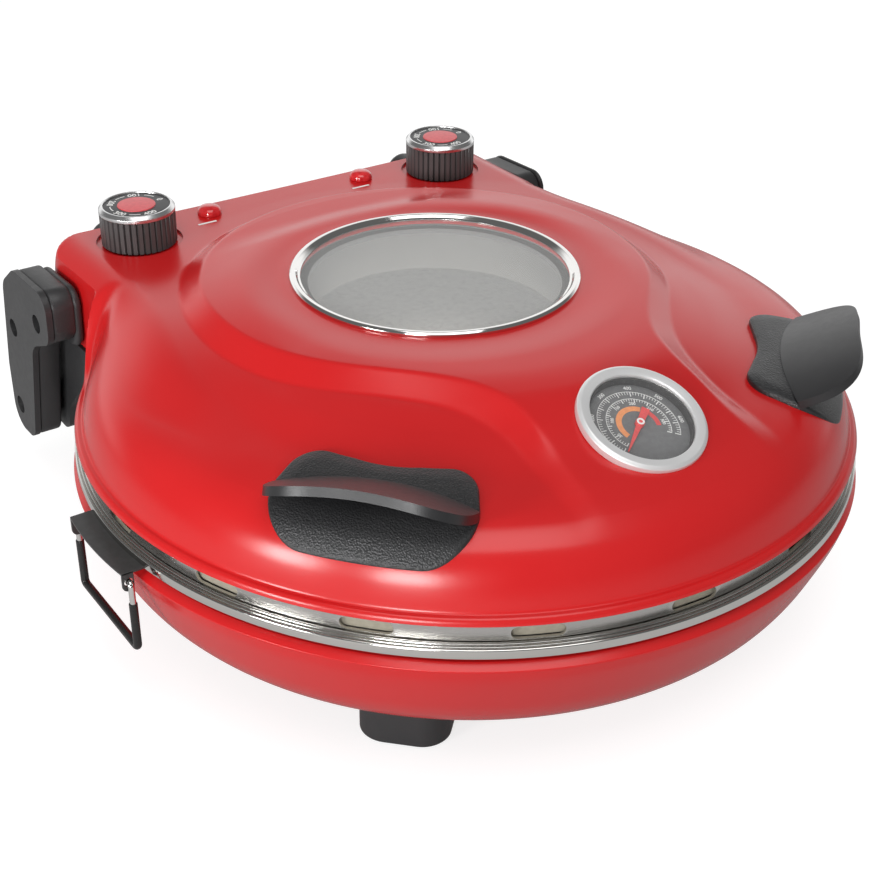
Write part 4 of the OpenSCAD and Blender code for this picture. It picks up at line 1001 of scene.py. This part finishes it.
build_hinge(-1)
build_hinge(1)
for node, material in (
        ("hinge_pins", CHROME), ("rear_housing", BLACK), ("cord_gland", RUBBER), ("foot_pads", RUBBER),
        ("lid_floor_plate", BLACK_METAL), ("top_element", DARK_STEEL), ("bottom_element", DARK_STEEL),
        ("top_element_clips", SATIN), ("bottom_element_clips", SATIN)):
    finish_node(node, material)


# ---- feet
FOOT_R = 125.0                          # distance of a foot's origin from the bowl's axis
FOOT_IN, FOOT_OUT, FOOT_HALF_W = -14.5, 18.0, 19.0


def build_foot(name, x, y):
    """A block under the bowl's edge, cut to the bowl's side."""
    line = rounded([(FOOT_IN, -FOOT_HALF_W, 12), (FOOT_OUT, -FOOT_HALF_W, 12),
                    (FOOT_OUT, FOOT_HALF_W, 12), (FOOT_IN, FOOT_HALF_W, 12)], 12)
    levels = [(-73.5, 0.5), (-73.0, 0), (-62, 0), (-48, 0), (-40, 0)]
    points = []
    for h, inset in levels:
        points += [(FOOT_R + out, along, h) for out, along in (inset_path(line, inset) if inset else line)]
    foot = piece("foot_smooth_" + name, spun(points, math.atan2(y, x)),
                 capped_faces(len(levels), len(line)), BLACK, "base", ("foot_" + name,))
    bowl = [(0, 20), (BOWL_EDGE_R + 0.3, 20)] + beside_bowl(0.3, 0.3) + [(0, BOWL_Z - 0.3)]
    angles = np.linspace(0, 2 * math.pi, 144, endpoint=False)
    points = [(r * math.cos(t), r * math.sin(t), z) for r, z in bowl for t in angles]
    cut(foot, [(points, grid_faces(len(bowl), 144, True, True))])


for row, y in (("front_", -1), ("rear_", 1)):
    for side in SIDES:
        build_foot(row + SIDES[side], side, y)


# ---- clasps
CLASP_Y, PIVOT_X, PIVOT_Z, CLASP_DROP, HALF_CLASP = -3.0, 178.6, -6.42, 30.6, 26.3
BRACKET_R, HALF_EAR = BOWL_R + 5.4, 0.6
WIRE_R, SLEEVE_R, SLEEVE_DROP = 1.3, 1.75, 9


def build_clasp(side):
    """A bracket with two ears under the rim and the wire bail that swings in them."""
    name = SIDES[side]
    ear_y = HALF_CLASP - 2.4
    ys = np.linspace(CLASP_Y - ear_y - HALF_EAR, CLASP_Y + ear_y + HALF_EAR, 40)
    plate = [(math.sqrt(r * r - y * y), y)
             for r, row in ((BRACKET_R, ys), (RIM_R - 2.6, ys[::-1])) for y in row]
    bracket = prism("clasp_plate_" + name, plate, BAND_Z + 0.35, BAND_Z + 1.4,
                    lambda a, b, h: (side * a, b, h),
                    BLACK_METAL, "base", ("clasp_bracket_" + name,))
    bevelled(bracket, 0.25, 2)
    for k, e in enumerate((-1, 1)):
        y = CLASP_Y + e * ear_y
        out = math.sqrt(BRACKET_R ** 2 - (y + e * HALF_EAR) ** 2)
        inner = math.sqrt((BOWL_R + 0.3) ** 2 - (abs(y) - HALF_EAR) ** 2)
        ear = rounded([(inner, BAND_Z + 1.3, 0), (out, BAND_Z + 1.3, 0.4), (out, PIVOT_Z - 4.2, 2.6),
                       (inner, PIVOT_Z - 4.2, 2.2)], 8)
        obj = prism("clasp_ear_%s_%d" % (name, k), ear, y - HALF_EAR, y + HALF_EAR,
                    lambda a, b, h: (side * a, h, b), BLACK_METAL, "base", ())
        cut(obj, [cylinder_points((side * PIVOT_X, y - 3, PIVOT_Z), (side * PIVOT_X, y + 3, PIVOT_Z),
                                  1.9, 40)])
        bevelled(obj, 0.2, 2)

    def rod(part, corners, radius, material, node):
        path = bent_path([(PIVOT_X, *corner) for corner in corners], 10)
        return sweep("clasp_%s_%s" % (part, name), [(side * x, y, z) for x, y, z in path], radius, material,
                     "clasp_" + name, (node + name,), 28)

    low, start = PIVOT_Z - CLASP_DROP, PIVOT_Z - SLEEVE_DROP
    a, b = CLASP_Y - HALF_CLASP, CLASP_Y + HALF_CLASP
    rod("bail", [(a + 4, PIVOT_Z, 0), (a, PIVOT_Z, 1.6), (a, low, 1.8), (b, low, 1.8), (b, PIVOT_Z, 1.6),
                 (b - 4, PIVOT_Z, 0)], WIRE_R, CHROME, "clasp_wire_")
    sleeve = rod("sleeve", [(a, start, 0), (a, low, 1.8), (b, low, 1.8), (b, start, 0)], SLEEVE_R, SLEEVE,
                 "clasp_sleeves_")
    bevelled(sleeve, 0.25, 2, 60)


for side in SIDES:
    build_clasp(side)


# ---- floor, light and camera
def ray_that_sees(owner):
    """1 for camera, glossy and transmission rays, which see the backdrop white."""
    path = add_node(owner, "ShaderNodeLightPath").outputs
    either = maths(owner, "MAXIMUM", path["Is Camera Ray"], path["Is Glossy Ray"])
    return maths(owner, "MAXIMUM", either, path["Is Transmission Ray"])


FLOOR_HALF = 6                          # metres
CAMERA_GLOW, MIRROR_GLOW = 0.62, 0.12
AMBIENT = 0.58
WALL_DIRECTION = (0.42, 0.72, -0.55)    # the bright wall is behind the object


def stage_floor():
    """A grey floor that glows, so that the camera sees it white."""
    mesh = bpy.data.meshes.new("floor")
    corners = [(x * FLOOR_HALF, y * FLOOR_HALF, 0) for x, y in ((-1, -1), (1, -1), (1, 1), (-1, 1))]
    mesh.from_pydata(corners, [], [(0, 1, 2, 3)])
    material = new_material("floor_white", (0.4, 0.4, 0.4), 0.9, Emission_Color=(1, 1, 1, 1))
    camera_ray = add_node(material, "ShaderNodeLightPath").outputs["Is Camera Ray"]
    reflected = maths(material, "MULTIPLY", ray_that_sees(material), MIRROR_GLOW)
    glow = maths(material, "MULTIPLY_ADD", camera_ray, CAMERA_GLOW, reflected)
    material.node_tree.links.new(glow, shader_of(material).inputs["Emission Strength"])
    mesh.materials.append(material)
    linked("floor", mesh)


def studio_world():
    """White where it is seen; as light, a dim room with one bright wall."""
    world = bpy.data.worlds.new("studio")
    bpy.context.scene.world = world
    world.use_nodes = True
    links = world.node_tree.links
    background = world.node_tree.nodes["Background"]
    background.inputs["Color"].default_value = (1, 1, 1, 1)
    camera_ray = add_node(world, "ShaderNodeLightPath").outputs["Is Camera Ray"]
    facing = add_node(world, "ShaderNodeVectorMath", operation="DOT_PRODUCT")
    facing.inputs[1].default_value = WALL_DIRECTION
    links.new(add_node(world, "ShaderNodeTexCoord").outputs["Generated"], facing.inputs[0])
    wall = add_node(world, "ShaderNodeMapRange", interpolation_type="SMOOTHSTEP",
                    From_Min=0.22, From_Max=0.5, To_Min=0.14, To_Max=1.2)
    links.new(facing.outputs["Value"], wall.inputs["Value"])
    level = add_node(world, "ShaderNodeMix", A=AMBIENT)
    links.new(ray_that_sees(world), level.inputs["Factor"])
    links.new(maths(world, "MAXIMUM", wall.outputs["Result"], camera_ray), level.inputs["B"])
    links.new(level.outputs["Result"], background.inputs["Strength"])


def area_light(name, place, target, size, power):
    light = bpy.data.lights.new(name, "AREA")
    light.shape = "RECTANGLE"
    light.size, light.size_y = size
    light.energy = power
    obj = linked(name, light)
    obj.location = place
    obj.rotation_euler = (Vector(target) - Vector(place)).to_track_quat("-Z", "Y").to_euler()


stage_floor()
studio_world()
area_light("key_rear", (-1.31, -0.25, 0.32), (-0.1, -0.1, 0.1), (0.32, 0.3), 7)
area_light("key_front", (-1.01, -0.89, 0.36), (-0.1, -0.1, 0.1), (0.32, 0.3), 7)
area_light("top", (-0.2, -0.5, 1.6), (0, 0, 0.08), (1.1, 1.1), 9)

camera_data = bpy.data.cameras.new("camera")
camera_data.lens = 63.4396
camera_data.sensor_width = 36
camera_data.sensor_fit = "HORIZONTAL"
camera_data.clip_start = 0.01
camera = linked("camera", camera_data)
bpy.context.scene.camera = camera
right, back = Vector((0.82767, -0.56115, 0.00851)), Vector((-0.48682, -0.71033, 0.50836))
upward = back.cross(right).normalized()
right = upward.cross(back).normalized()
turn = Matrix((right, upward, back)).transposed().to_4x4()
camera.matrix_world = Matrix.Translation((-0.35457, -0.50244, 0.42194)) @ turn
bpy.context.scene.view_settings.view_transform = "Standard"

bpy.context.view_layer.update()
